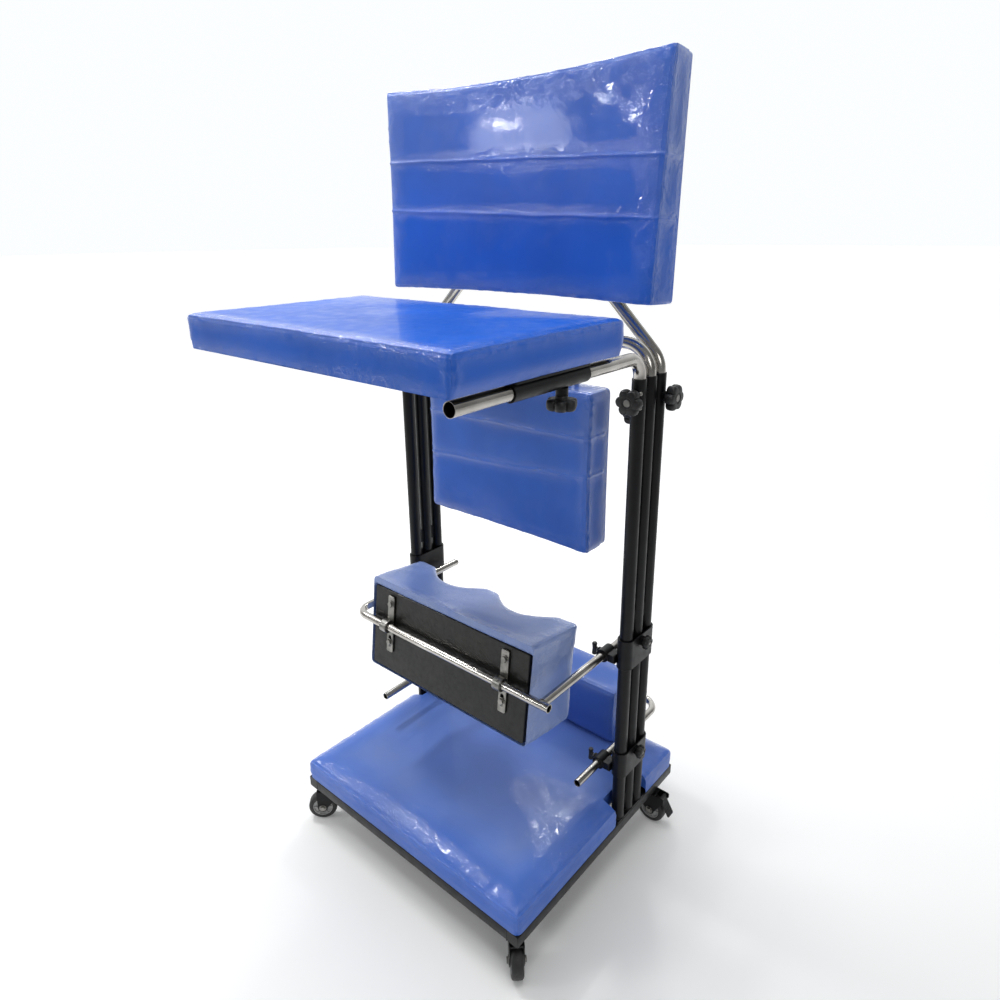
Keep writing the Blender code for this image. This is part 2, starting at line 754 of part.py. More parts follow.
def column(root, label, side):
    foot_half = TUBE_PITCH + TUBE_OD / 2 + COLUMN_FOOT_MARGIN
    foot = span_box((-RAIL / 2, -foot_half, TUBE_FOOT), (RAIL / 2, foot_half, TUBE_FOOT + COLUMN_FOOT_THICK))
    tubes, bores, bosses, holes, webs = [], [], [], [], []
    low = TUBE_FOOT + COLUMN_FOOT_THICK / 2
    floor = TUBE_FOOT + COLUMN_FOOT_THICK + OVERSHOOT
    for y in (-TUBE_PITCH, 0, TUBE_PITCH):
        middle = (0, y, (COLUMN_TOP + low) / 2)
        tubes.append(cylinder(TUBE_OD / 2, COLUMN_TOP - low, middle, sides=TUBE_SIDES))
        top = COLUMN_TOP + OVERSHOOT
        bores.append(cylinder(TUBE_BORE, top - floor, (0, y, (top + floor) / 2), sides=TUBE_SIDES))
    web_length = TUBE_PITCH - TUBE_OD + 2 * TUBE_WALL
    for y in (-TUBE_PITCH / 2, TUBE_PITCH / 2):
        for z in (floor + WEB_HEIGHT, (COLUMN_TOP + floor) / 2, COLUMN_TOP - WEB_HEIGHT):
            webs.append(box((WEB_THICK, web_length, WEB_HEIGHT), (0, y, z)))
    for _, y, z, direction in knob_seats(side):
        axis = "X" if direction[0] else "Y"
        outward = Vector(direction)
        start = TUBE_BORE + TUBE_WALL / 2
        reach = seat_reach()
        middle = Vector((0, y, z)) + outward * (start + reach) / 2
        bosses.append(cylinder(BOSS_RADIUS, reach - start, middle, axis))
        middle = Vector((0, y, z)) + outward * (TUBE_BORE + reach) / 2
        holes.append(cylinder(STUD_RADIUS + BORE_PLAY, reach - TUBE_BORE + 2 * OVERSHOOT, middle, axis))
    body = join(foot, *tubes, *webs, *bosses)
    body = cut(body, *bores, *holes)
    place(body, "column_" + label, BLACK_PAINT, root, (side * COLUMN_X, 0, 0))
    for name, y, z, direction in knob_seats(side):
        spot = Vector((side * COLUMN_X, y, z)) + Vector(direction) * seat_reach()
        seat = axes_at("_".join((name, "knob_axis", label)), spot, root, pointing(direction))
        stud = seat_reach() - INNER_OD / 2 - (ARM_STUD_GAP if name == "front" else STUD_GAP)
        place(star_knob(stud), "_".join((name, "tube_knob", label)), PLASTIC, seat)


# Tray on its two bent arms

def tray_arm(lift, label, side):
    top = ARM_Z - COLUMN_TOP
    centre = (0, -ARM_BEND, top - ARM_BEND)
    points = [(0, 0, -LEG_LENGTH)]
    points += arc(centre, ARM_BEND, Y_AXIS, Z_AXIS, 0, 90)
    points.append((0, -(TRAY_ARM_ENDS[label] - TUBE_PITCH), top))
    arm = tube(points, INNER_OD / 2, INNER_WALL)
    place(arm, "tray_arm_" + label, CHROME, lift, (side * COLUMN_X, 0, 0))


def tray_sleeve(slide, label, side):
    """A sleeve on the arm with a flat flange under the board and a boss for its knob."""
    body = cylinder(SLEEVE_RADIUS, SLEEVE_LENGTH, axis="Y", sides=PIPE_SIDES)
    flange_top = SLEEVE_RADIUS + FLANGE_THICK - GAP
    flange = span_box((-FLANGE_WIDTH / 2, -SLEEVE_LENGTH / 2, SLEEVE_RADIUS - SLEEVE_WALL / 2),
                      (FLANGE_WIDTH / 2, SLEEVE_LENGTH / 2, flange_top))
    boss_y = -SLEEVE_LENGTH / 2 + TRAY_KNOB_FROM_FRONT
    seat = SLEEVE_RADIUS + TRAY_BOSS_HEIGHT
    start = SLEEVE_BORE + SLEEVE_WALL / 2
    boss = cylinder(BOSS_RADIUS, seat - start, (0, boss_y, -(seat + start) / 2))
    sleeve = join(body, flange, boss)
    bore = cylinder(SLEEVE_BORE, SLEEVE_LENGTH + 2 * OVERSHOOT, axis="Y", sides=PIPE_SIDES)
    hole = cylinder(STUD_RADIUS + BORE_PLAY, seat, (0, boss_y, -seat / 2 - OVERSHOOT))
    sleeve = cut(sleeve, bore, hole)
    y = -SLEEVE_FRONT + SLEEVE_LENGTH / 2
    place(sleeve, "tray_sleeve_" + label, BLACK_PAINT, slide, (side * COLUMN_X, y, ARM_Z))
    spot = (side * COLUMN_X, y + boss_y, ARM_Z - seat)
    axis = axes_at("tray_knob_axis_" + label, spot, slide, pointing((0, 0, -1)))
    place(star_knob(seat - INNER_OD / 2 - ARM_STUD_GAP), "tray_knob_" + label, PLASTIC, axis)


def tray_top(slide):
    board_size = (TRAY_WIDTH - 2 * PAD_RIM, TRAY_DEPTH - 2 * PAD_RIM, TRAY_BOARD_THICK)
    board = box(board_size, (0, TRAY_Y, BOARD_UNDER + TRAY_BOARD_THICK / 2))
    place(board, "tray_board", BOARD, slide)
    pad = cushion(TRAY_WIDTH, TRAY_DEPTH, TRAY_PAD_HEIGHT, crowned(TRAY_CROWN), (10, 7))
    pocket = [length + 2 * GAP for length in board_size]
    cut(pad, box(pocket, (0, 0, TRAY_BOARD_THICK / 2)))
    place(pad, "tray_pad", VINYL, slide, (0, TRAY_Y, BOARD_UNDER))


def tray(root):
    lift = axes_at("tray_lift_axis", (0, -TUBE_PITCH, COLUMN_TOP), root)
    for label, side in sides():
        tray_arm(lift, label, side)
    slide = axes_at("tray_slide_axis", (0, TUBE_PITCH, -COLUMN_TOP), lift)
    for label, side in sides():
        tray_sleeve(slide, label, side)
    tray_top(slide)


# Padded boards on slotted straps

def strap(length, tail, width, thick, ring_radius, ring_bore, bar_from_strap):
    """A slotted strip with a ring for a bar.

    The strip lies in x and z with its middle plane at y = 0, from tail above the bar
    to length below it. The ring's axis is bar_from_strap away along Y.
    """
    middle = (tail - length) / 2
    half = (length + tail) / 2
    slot_top = -ring_radius - SLOT_MARGIN
    slot_half = (slot_top - (SLOT_MARGIN - length)) / 2
    slot_middle = (slot_top + SLOT_MARGIN - length) / 2
    edge = [(-width / 2, middle - half), (width / 2, middle - half),
            (width / 2, middle + half), (-width / 2, middle + half)]
    slot = [(x, y + slot_middle) for x, y in stadium(slot_half - SLOT_WIDTH / 2, SLOT_WIDTH / 2)]
    strip = plate([edge, slot], thick)
    turned_mesh(strip, Matrix.Rotation(math.radians(90), 4, "X"))
    eye = cylinder(ring_radius, width - 2 * GAP, (0, bar_from_strap, 0), "X", PIPE_SIDES)
    body = join(strip, eye)
    return cut(body, cylinder(ring_bore, width + 2 * OVERSHOOT, (0, bar_from_strap, 0), "X", PIPE_SIDES))


def strap_pair(tilt, name, x, matrix, *sizes):
    for label, side in sides():
        solid = turned_mesh(strap(*sizes), matrix)
        place(solid, "_".join((name, label)), ZINC, tilt, (side * x, 0, 0))


def backed_pad(width, height, thick, rise, cells):
    """A cushion with a pocket for its board at z = 0, and the board itself."""
    pad = cushion(width, height, thick, rise, cells)
    size = (width - 2 * PAD_RIM, height - 2 * PAD_RIM, BOARD_THICK)
    board = box(size, (0, 0, BOARD_THICK / 2))
    pocket = [length + 2 * GAP for length in size]
    return cut(pad, box(pocket, (0, 0, BOARD_THICK / 2))), board


def hip_pad(root):
    lift = axes_at("hip_lift_axis", (0, 0, COLUMN_TOP), root)
    rise = HIP_BAR_Z - COLUMN_TOP
    right = [(COLUMN_X, 0, -LEG_LENGTH)]
    right += arc((COLUMN_X - HIP_BEND, 0, rise - HIP_BEND), HIP_BEND, X_AXIS, Z_AXIS, 0, 90)
    left = [(-Vector(point).x, 0, Vector(point).z) for point in reversed(right)]
    place(tube(right + left, INNER_OD / 2, INNER_WALL), "hip_bar", CHROME, lift)
    tilt = axes_at("hip_tilt_axis", (0, 0, rise), lift)
    ring_bore = INNER_OD / 2 + BORE_PLAY
    plane = STRAP_RING + GAP - STRAP_THICK / 2
    strap_pair(tilt, "hip_strap", HIP_STRAP_X, Matrix.Translation((0, plane, 0)), HIP_STRAP_LENGTH, 0,
               STRAP_WIDTH, STRAP_THICK, STRAP_RING, ring_bore, -plane)
    pad, board = backed_pad(HIP_WIDTH, HIP_HEIGHT, HIP_THICK, crowned(HIP_CROWN), (8, 6))
    spot = (0, plane - STRAP_THICK / 2 - GAP, -HIP_DROP - HIP_HEIGHT / 2)
    place(board, "hip_board", BOARD, tilt, spot, FACE_FRONT)
    place(pad, "hip_pad", VINYL, tilt, spot, FACE_FRONT)


def back_bar_points():
    """Right half of the rear bar: up, in at 45 degrees, then level."""
    rise = BACK_BAR_Z - COLUMN_TOP
    first = (COLUMN_X - BACK_BEND, 0, OVERSHOOT)
    points = [(COLUMN_X, 0, -LEG_LENGTH)] + arc(first, BACK_BEND, X_AXIS, Z_AXIS, 0, 45, 3)
    low = points[-1]
    corner = BACK_BEND * math.sin(math.radians(45))
    drop = BACK_BEND - corner
    run = rise - drop - low.z
    second = (low.x - run - corner, 0, rise - BACK_BEND)
    return points + arc(second, BACK_BEND, X_AXIS, Z_AXIS, 45, 90, 3)


def back_pad(root):
    lift = axes_at("back_lift_axis", (0, TUBE_PITCH, COLUMN_TOP), root)
    right = back_bar_points()
    left = [(-Vector(point).x, 0, Vector(point).z) for point in reversed(right)]
    place(tube(right + left, INNER_OD / 2, INNER_WALL), "back_bar", CHROME, lift)
    lean = (math.radians(-BACK_LEAN), 0, 0)
    tilt = axes_at("back_tilt_axis", (0, 0, BACK_BAR_Z - COLUMN_TOP), lift, lean)
    ring_bore = INNER_OD / 2 + BORE_PLAY
    plane = STRAP_RING + GAP - STRAP_THICK / 2
    upright = Matrix.Translation((0, -plane, 0)) @ Matrix.Rotation(math.radians(180), 4, "X")
    strap_pair(tilt, "back_strap", BACK_STRAP_X, upright, BACK_STRAP_LENGTH, BACK_STRAP_TAIL,
               STRAP_WIDTH, STRAP_THICK, STRAP_RING, ring_bore, -plane)
    pad, board = backed_pad(BACK_WIDTH, BACK_HEIGHT, BACK_THICK, crowned(BACK_CROWN), (10, 7))
    spot = (0, -plane - STRAP_THICK / 2 - GAP, BACK_HEIGHT / 2 - BACK_BELOW_BAR)
    place(board, "back_board", BOARD, tilt, spot, FACE_FRONT)
    place(pad, "back_pad", VINYL, tilt, spot, FACE_FRONT)


# Collars on the columns that hold a sliding bar

def collar(parent, name, side, height, drop):
    """A collar round the three tubes with a bar clamp drop below its middle, on its inner side."""
    inner = stadium(TUBE_PITCH, COLLAR_BORE, TUBE_SIDES // 2)
    outer = stadium(TUBE_PITCH, COLLAR_BORE + COLLAR_WALL, TUBE_SIDES // 2)
    band = plate([outer, inner], height)
    clamp_x = -side * BAR_FROM_COLUMN
    wall_x = -side * (COLLAR_BORE + COLLAR_WALL / 2)
    clamp = cylinder(BAR_CLAMP, CLAMP_LENGTH, (clamp_x, CLAMP_Y, -drop), "Y", PIPE_SIDES)
    block_half = CLAMP_LENGTH / 2 - OVERSHOOT
    block = span_box((min(clamp_x, wall_x), CLAMP_Y - block_half, -drop - CLAMP_BLOCK_HEIGHT / 2),
                     (max(clamp_x, wall_x), CLAMP_Y + block_half, -drop + CLAMP_BLOCK_HEIGHT / 2))
    knob_seat = collar_seat()
    wall_start = COLLAR_BORE + COLLAR_WALL / 2
    boss = cylinder(BOSS_RADIUS, knob_seat - wall_start,
                    (side * (knob_seat + wall_start) / 2, 0, COLLAR_KNOB_RISE), "X")
    wing_seat = BAR_FROM_COLUMN + BAR_CLAMP + BOSS_HEIGHT
    wing_start = BAR_FROM_COLUMN + BAR_RADIUS + BORE_PLAY + CLAMP_WALL / 2
    wing_boss = cylinder(WING_BOSS_RADIUS, wing_seat - wing_start,
                         (-side * (wing_seat + wing_start) / 2, CLAMP_Y, -drop), "X")
    body = join(band, clamp, block, boss, wing_boss)
    bar_bore = cylinder(BAR_RADIUS + BORE_PLAY, CLAMP_LENGTH + 2 * OVERSHOOT,
                        (clamp_x, CLAMP_Y, -drop), "Y", PIPE_SIDES)
    reach = knob_seat + OVERSHOOT
    knob_hole = cylinder(STUD_RADIUS + BORE_PLAY, reach, (side * reach / 2, 0, COLLAR_KNOB_RISE), "X")
    reach = wing_seat - BAR_FROM_COLUMN + OVERSHOOT
    wing_hole = cylinder(SCREW_STUD_RADIUS + BORE_PLAY, reach,
                         (-side * (BAR_FROM_COLUMN + reach / 2), CLAMP_Y, -drop), "X")
    # the cavity for the tubes is cleared again after the block and bosses are on
    tubes = plate([inner], height + 2 * OVERSHOOT)
    body = cut(body, bar_bore, knob_hole, wing_hole, tubes)
    place(body, name, BLACK_PAINT, parent, (side * COLUMN_X, 0, 0))


def collar_seat():
    return COLLAR_BORE + COLLAR_WALL + BOSS_HEIGHT


def collar_knobs(parent, block, label, side, drop):
    seat = axes_at("_".join((block, "collar_knob_axis", label)),
                   (side * (COLUMN_X + collar_seat()), 0, COLLAR_KNOB_RISE), parent, pointing((side, 0, 0)))
    stud = collar_seat() - TUBE_OD / 2 - STUD_GAP
    place(small_knob(stud), "_".join((block, "collar_knob", label)), PLASTIC, seat)
    wing_x = BAR_X - BAR_CLAMP - BOSS_HEIGHT
    axis = axes_at("_".join((block, "wing_axis", label)), (side * wing_x, CLAMP_Y, -drop),
                   parent, pointing((-side, 0, 0)))
    stud = BAR_CLAMP + BOSS_HEIGHT - BAR_RADIUS - STUD_GAP
    place(wing_knob(stud), "_".join((block, "clamp_knob", label)), PLASTIC, axis)


# Knee block

def knee_bar(slide):
    """A bar bent at its left end, with its right side tube welded on behind it."""
    front = -KNEE_BAR_Y
    bend = arc((-BAR_X + KNEE_BAR_BEND, front + KNEE_BAR_BEND, 0), KNEE_BAR_BEND, -X_AXIS, -Y_AXIS, 0, 90)
    main = [(-BAR_X, KNEE_BAR_TAIL, 0)] + bend + [(BAR_X + KNEE_BAR_OVERHANG, front, 0)]
    branch = [(BAR_X, front, 0), (BAR_X, KNEE_BAR_TAIL, 0)]
    # the welded tube is a hair slimmer than the tube that it meets
    solid = join(rod(main, BAR_RADIUS, SMALL_SIDES), rod(branch, BAR_RADIUS - GAP, SMALL_SIDES))
    bore = BAR_RADIUS - BAR_WALL
    past = Vector((OVERSHOOT, OVERSHOOT, 0))
    main_bore = [Vector(main[0]) + past * Y_AXIS] + main[1:-1] + [Vector(main[-1]) + past * X_AXIS]
    branch_bore = [branch[0], Vector(branch[1]) + past * Y_AXIS]
    bar = cut(solid, rod(main_bore, bore, SMALL_SIDES), rod(branch_bore, bore - GAP, SMALL_SIDES))
    place(bar, "knee_bar", CHROME, slide)


def knee_recesses(u, v):
    """Two hollows for the knees, side by side in the rear face."""
    x = abs(u) * KNEE_WIDTH / 2 - KNEE_RECESS_X
    across = min(1.0, abs(x) / (KNEE_RECESS_WIDTH / 2))
    return -KNEE_RECESS_DEPTH * (1 - across ** 2)


def knee_block(root):
    lift_z = KNEE_BAR_Z + KNEE_COLLAR_RISE
    lift = axes_at("knee_lift_axis", (0, 0, lift_z), root)
    for label, side in sides():
        collar(lift, "knee_collar_" + label, side, KNEE_COLLAR_HEIGHT, KNEE_COLLAR_RISE)
        collar_knobs(lift, "knee", label, side, KNEE_COLLAR_RISE)
    slide = axes_at("knee_slide_axis", (0, 0, -KNEE_COLLAR_RISE), lift)
    knee_bar(slide)
    tilt = axes_at("knee_tilt_axis", (0, -KNEE_BAR_Y, 0), slide, (math.radians(-KNEE_TILT), 0, 0))
    plane = BAR_CLAMP + GAP - KNEE_STRAP_THICK / 2
    half = KNEE_STRAP_LENGTH / 2
    strap_pair(tilt, "knee_strap", KNEE_STRAP_X, Matrix.Translation((0, plane, 0)), half, half,
               KNEE_STRAP_WIDTH, KNEE_STRAP_THICK, BAR_CLAMP, BAR_RADIUS + BORE_PLAY, -plane)
    face = BAR_CLAMP + 2 * GAP
    board = box((KNEE_WIDTH - 2 * GAP, KNEE_HEIGHT - 2 * GAP, BOARD_THICK), (0, 0, BOARD_THICK / 2))
    place(board, "knee_board", BOARD, tilt, (0, face, -KNEE_DROP), FACE_REAR)
    pad = cushion(KNEE_WIDTH, KNEE_HEIGHT, KNEE_PAD_THICK, knee_recesses, (18, 4))
    place(pad, "knee_pad", VINYL, tilt, (0, face + BOARD_THICK + GAP, -KNEE_DROP), FACE_REAR)


# Heel block

def heel_bar(slide):
    """A U of tube, open at its two front ends, with two tabs welded across its rear."""
    corner = HEEL_BAR_Y - HEEL_BEND
    right = [(BAR_X, -HEEL_LEG_RIGHT, 0)]
    right += arc((BAR_X - HEEL_BEND, corner, 0), HEEL_BEND, X_AXIS, Y_AXIS, 0, 90)
    left = arc((-BAR_X + HEEL_BEND, corner, 0), HEEL_BEND, -X_AXIS, Y_AXIS, 90, 0)
    left.append((-BAR_X, -HEEL_LEG_LEFT, 0))
    bar = tube(right + left, BAR_RADIUS, BAR_WALL, SMALL_SIDES)
    front = HEEL_BAR_Y - BAR_RADIUS
    tabs = [box((HEEL_TAB_WIDTH, HEEL_TAB_THICK, HEEL_TAB_HEIGHT),
                (side * HEEL_TAB_X, front + HEEL_TAB_THICK / 2, 0)) for _, side in sides()]
    bar = join(bar, *tabs)
    bore = [(-HEEL_TAB_X - HEEL_TAB_WIDTH, HEEL_BAR_Y, 0), (HEEL_TAB_X + HEEL_TAB_WIDTH, HEEL_BAR_Y, 0)]
    bar = cut(bar, rod(bore, BAR_RADIUS - BAR_WALL, SMALL_SIDES))
    place(bar, "heel_bar", CHROME, slide)


def heel_block(root):
    lift_z = HEEL_BAR_Z + HEEL_COLLAR_RISE
    lift = axes_at("heel_lift_axis", (0, 0, lift_z), root)
    for label, side in sides():
        collar(lift, "heel_collar_" + label, side, HEEL_COLLAR_HEIGHT, HEEL_COLLAR_RISE)
        collar_knobs(lift, "heel", label, side, HEEL_COLLAR_RISE)
    slide = axes_at("heel_slide_axis", (0, 0, -HEEL_COLLAR_RISE), lift)
    heel_bar(slide)
    thick = HEEL_PAD_THICK + BOARD_THICK
    pad, board = backed_pad(HEEL_WIDTH, HEEL_HEIGHT, thick, crowned(HEEL_CROWN), (8, 4))
    bottom = FOOT_TOP + HEEL_ABOVE_FOOTPAD - HEEL_BAR_Z
    spot = (0, HEEL_BAR_Y - BAR_RADIUS - GAP, bottom + HEEL_HEIGHT / 2)
    place(board, "heel_board", BOARD, slide, spot, FACE_FRONT)
    place(pad, "heel_pad", VINYL, slide, spot, FACE_FRONT)


def main():
    root = axes_at("column_centre", (0, COLUMN_Y, 0))
    base_frame(root)
    footplate(root)
    casters(root)
    for label, side in sides():
        column(root, label, side)
    tray(root)
    hip_pad(root)
    back_pad(root)
    knee_block(root)
    heel_block(root)
    bpy.data.collections.remove(WORKSHOP)


main()
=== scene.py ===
"""Looks of a sitting-standing frame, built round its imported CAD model.

Film-wrapped blue vinyl pads are swelled by cloth simulation. Chrome tubes, black columns,
knobs, casters and fasteners are fine meshes that stand for the plain CAD solids.
"""
import json
import math
from dataclasses import dataclass

import bmesh
import bpy
from mathutils import Matrix, Vector, noise


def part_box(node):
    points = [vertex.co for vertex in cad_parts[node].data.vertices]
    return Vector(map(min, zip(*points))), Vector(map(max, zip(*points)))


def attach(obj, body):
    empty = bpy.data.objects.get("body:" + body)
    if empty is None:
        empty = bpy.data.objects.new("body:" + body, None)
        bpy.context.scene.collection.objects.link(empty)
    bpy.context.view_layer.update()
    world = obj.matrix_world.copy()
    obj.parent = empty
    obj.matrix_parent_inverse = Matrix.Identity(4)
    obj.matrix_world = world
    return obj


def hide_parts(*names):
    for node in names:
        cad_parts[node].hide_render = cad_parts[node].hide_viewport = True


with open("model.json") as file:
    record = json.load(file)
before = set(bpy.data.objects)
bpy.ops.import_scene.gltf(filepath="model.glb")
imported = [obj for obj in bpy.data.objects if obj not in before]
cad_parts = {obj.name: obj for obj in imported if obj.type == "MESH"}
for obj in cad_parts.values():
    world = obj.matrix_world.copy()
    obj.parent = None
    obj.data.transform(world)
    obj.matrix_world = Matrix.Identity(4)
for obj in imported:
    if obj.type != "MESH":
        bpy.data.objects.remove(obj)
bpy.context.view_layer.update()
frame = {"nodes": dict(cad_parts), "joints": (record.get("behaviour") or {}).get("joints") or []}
scene = bpy.context.scene
joints = {joint["name"]: joint for joint in frame["joints"]}

X, Y, Z = Vector((1, 0, 0)), Vector((0, 1, 0)), Vector((0, 0, 1))
STILL = Matrix.Identity(4)
SIDES = (("left", -1), ("right", 1))
BOTH = (-1, 1)
CORNERS = ("front_left", "front_right", "rear_left", "rear_right")
TUBES = ("front", "middle", "rear")
REARWARD = (-0.65, 0.76, 0.0)

# Chamfers of blocks, plates and thin sheets
CHAMFER = 0.0006
PLATE_CHAMFER = 0.0005
SHEET_CHAMFER = 0.0004

# Radius and height of the heads of screws and bolts
SCREW = (0.0042, 0.0024)
SMALL_SCREW = (0.0036, 0.0022)
PLATE_HEAD = (0.0042, 0.0040)
AXLE_HEAD = (0.0062, 0.0042)
STRAP_HEAD = (0.0062, 0.0050)

# Radii of the weld beads
BAR_WELD = 0.0013
WEB_WELD = 0.0015
TUBE_WELD = 0.0016
RAIL_WELD = 0.0018
COLLAR_WELD = 0.0018
SLEEVE_WELD = 0.0020

# Sizes of the columns
COLUMN_X = 0.2893
COLUMN_Y = 0.150
COLUMN_TOP = 1.035
TUBE_RADIUS = 0.0127
TUBE_WALL = 0.0012
TUBE_PITCH = 0.034
TUBE_ROWS = (-TUBE_PITCH, 0, TUBE_PITCH)
WEB_THICK = 0.006
WEB_HEIGHT = 0.030
FOOT_THICK = 0.004
FOOT_LAP = 0.002
BOSS_RADIUS = 0.0095
BOSS_HEIGHT = 0.004
BOSS_BORE = 0.0046
FRONT_KNOB_DROP = 0.035

# Sizes of the tubes that slide in the columns
INNER_RADIUS = 0.0111
LEG_LENGTH = 0.420
ARM_Z = 1.072
ARM_BEND = 0.035
SLEEVE_RADIUS = 0.0136
SLEEVE_BORE = 0.0116
HIP_BAR_Z = 1.087
HIP_BEND = 0.050
BACK_BAR_Z = 1.190
BACK_BEND = 0.050
BACK_BEND_Z = 1.037

# Sizes of the knee and heel bars and their collars
BAR_RADIUS = 0.008
BAR_WALL = 0.0015
BAR_X = 0.250
BAR_CLAMP = 0.0131
BAR_BORE = 0.0086
KNEE_BAR_Z = 0.492
KNEE_BAR_Y = -0.0966
KNEE_BAR_REAR = 0.210
KNEE_BAR_END = 0.268
KNEE_BEND = 0.030
HEEL_BAR_Z = 0.240
HEEL_BAR_Y = 0.342
HEEL_RIGHT_END = 0.022
HEEL_LEFT_END = -0.038
HEEL_BEND = 0.036
HEEL_TAB_X = 0.120
HEEL_TAB_THICK = 0.003
COLLAR_BORE = 0.0132
COLLAR_WALL = 0.003
COLLAR_BOSS_BORE = 0.0042
COLLAR_BOSS_DEPTH = 0.0055
WING_BOSS_RADIUS = 0.0065
WING_BOSS_DEPTH = 0.0060
CLAMP_Y = 0.110
CLAMP_LENGTH = 0.030

# Sizes of the base and the casters
RAIL = 0.0254
RAIL_CORNER = 0.0028
RAIL_LOW = 0.0865
FRAME_TOP = 0.1122
BASE_FRONT = -0.225
BASE_REAR = 0.325
MID_RAIL_Y = 0.030
REAR_RAIL_Y = 0.265
PLATE_SIZE = 0.056
PLATE_THICK = 0.0025
PLATE_CORNER = 0.005
PLATE_LAP = 0.0005
PLATE_BOLT = 0.0215
SWIVEL_GAP = 0.0003
BEARING_HEIGHT = 0.010
WHEEL_RADIUS = 0.0315
WHEEL_HALF = 0.0115
FORK_GAP = 0.0005
FORK_SHEET = 0.002
FORK_LAP = 0.002
FORK_BRIDGE = 0.004
CHEEK_RADIUS = 0.011
BRAKE_REACH = 0.0564
PEDAL_HALF = 0.011
PEDAL_RUN = 0.022
PEDAL_DROP = 0.036

# Sizes of the knobs' studs, and of the boards and pads
COLUMN_STUD = 0.0034
TRAY_STUD = 0.010
COLLAR_STUD = 0.006
BOARD_THICK = 0.012
PAD_RIM = 0.009
KNEE_SIZE = (0.430, 0.200, 0.127 + BOARD_THICK)
KNEE_RIM = (0.007, 0.018, 0.004)
KNEE_FRONT = (0, 0.0260 - BOARD_THICK, -0.010)
KNEE_LEAN = -7.0
BACK_LEAN = -2.5


# Mesh tools

def moved(x, y, z):
    return Matrix.Translation((x, y, z))


def spun(axis, degrees):
    return Matrix.Rotation(math.radians(degrees), 4, axis)


def aimed(place, direction):
    """The placing that turns a shape's own Z axis to a direction."""
    return Matrix.Translation(place) @ Vector(direction).to_track_quat("Z", "Y").to_matrix().to_4x4()


def tilted(turn, degrees):
    """The placing of what leans on the axis of a joint."""
    return Matrix.Translation(joints[turn]["pos_m"]) @ spun("X", degrees)


def seat_of(turn):
    """The placing of a knob on the axis of its joint."""
    return aimed(joints[turn]["pos_m"], joints[turn]["axis"])


def arc(centre, radius, across, up, start, end, steps=14):
    """Points of a circle from one angle to another, in degrees."""
    angles = [math.radians(start + (end - start) * i / steps) for i in range(steps + 1)]
    return [Vector(centre) + radius * (math.cos(a) * across + math.sin(a) * up) for a in angles]


def ring(centre, radius, across, up, sides=32):
    """Points of a circle in the plane of two unit vectors."""
    angles = [2 * math.pi * i / sides for i in range(sides)]
    return [Vector(centre) + radius * (math.cos(a) * across + math.sin(a) * up) for a in angles]


def skin(bm, rings, closed=False, matrix=STILL):
    """Quads between rings of points.

    A closed skin joins its last ring to its first, an open one is capped.
    """
    rows = [[bm.verts.new(matrix @ point) for point in points] for points in rings]
    count = len(rows[0])
    for near, far in zip(rows, rows[1:] + (rows[:1] if closed else [])):
        for i in range(count):
            bm.faces.new((near[i], near[i - 1], far[i - 1], far[i]))
    if not closed:
        bm.faces.new(rows[0])
        bm.faces.new(reversed(rows[-1]))


def swept(path, radii, sides):
    """Rings round a path, turned along it without twist."""
    path = [Vector(point) for point in path]
    ahead = (path[1] - path[0]).normalized()
    across = ahead.orthogonal().normalized()
    rings = []
    for i, point in enumerate(path):
        before = (point - path[i - 1]).normalized() if i else ahead
        after = (path[i + 1] - point).normalized() if i + 1 < len(path) else before
        turned = (before + after).normalized()
        across = ahead.rotation_difference(turned) @ across
        ahead = turned
        rings.append(ring(point, radii[i], across, ahead.cross(across), sides))
    return rings


def pipe(bm, path, radius, wall, sides=32, lip=0.0004):
    """A hollow tube along a path, with a fine chamfer at both ends."""
    path = [Vector(point) for point in path]
    first = (path[1] - path[0]).normalized() * lip
    last = (path[-1] - path[-2]).normalized() * lip
    line = [path[0], path[0] + first, *path[1:-1], path[-1] - last, path[-1]]
    inside = radius - wall
    outer = swept(line, [radius - lip, *[radius] * (len(line) - 2), radius - lip], sides)
    inner = swept(line, [inside + lip, *[inside] * (len(line) - 2), inside + lip], sides)
    skin(bm, outer + inner[::-1], closed=True)


def lathe(bm, profile, matrix, sides=40, closed=False):
    """A turned shape from (radius, height) pairs about Z."""
    skin(bm, [ring((0, 0, height), radius, X, Y, sides) for radius, height in profile], closed, matrix)


def flipped(profile):
    """The other half of a profile that is the same on both sides of height 0."""
    return [(radius, -height) for radius, height in reversed(profile)]


def rod(bm, radius, half, chamfer, matrix, sides):
    """A round rod about Z with chamfered ends, from -half to half."""
    end = [(radius - chamfer, -half), (radius, -half + chamfer)]
    lathe(bm, end + flipped(end), matrix, sides)


def clamp_ring(bm, outer, bore, half, chamfer, matrix):
    """A ring about Z with chamfered outer edges, from -half to half."""
    rim = [(outer - chamfer, -half), (outer, -half + chamfer)]
    lathe(bm, [*rim, *flipped(rim), (bore, half), (bore, -half)], matrix, closed=True)


def boss(bm, turn, radius, bore, depth):
    """The raised seat of a knob, with a hole for its stud."""
    profile = [(radius, -depth), (radius, -CHAMFER), (radius - CHAMFER, 0.0), (bore, 0.0), (bore, -depth)]
    lathe(bm, profile, seat_of(turn), closed=True)


def rounded(width, length, radius, steps=6):
    """Outline of a rectangle with round corners, counter-clockwise."""
    outline = []
    for turn, (sx, sy) in enumerate(((1, 1), (-1, 1), (-1, -1), (1, -1))):
        centre = Vector((sx * (width / 2 - radius), sy * (length / 2 - radius), 0))
        outline += arc(centre, radius, X, Y, 90 * turn, 90 * turn + 90, steps)
    return outline


def raised(outline, height):
    return [Vector((point.x, point.y, height)) for point in outline]


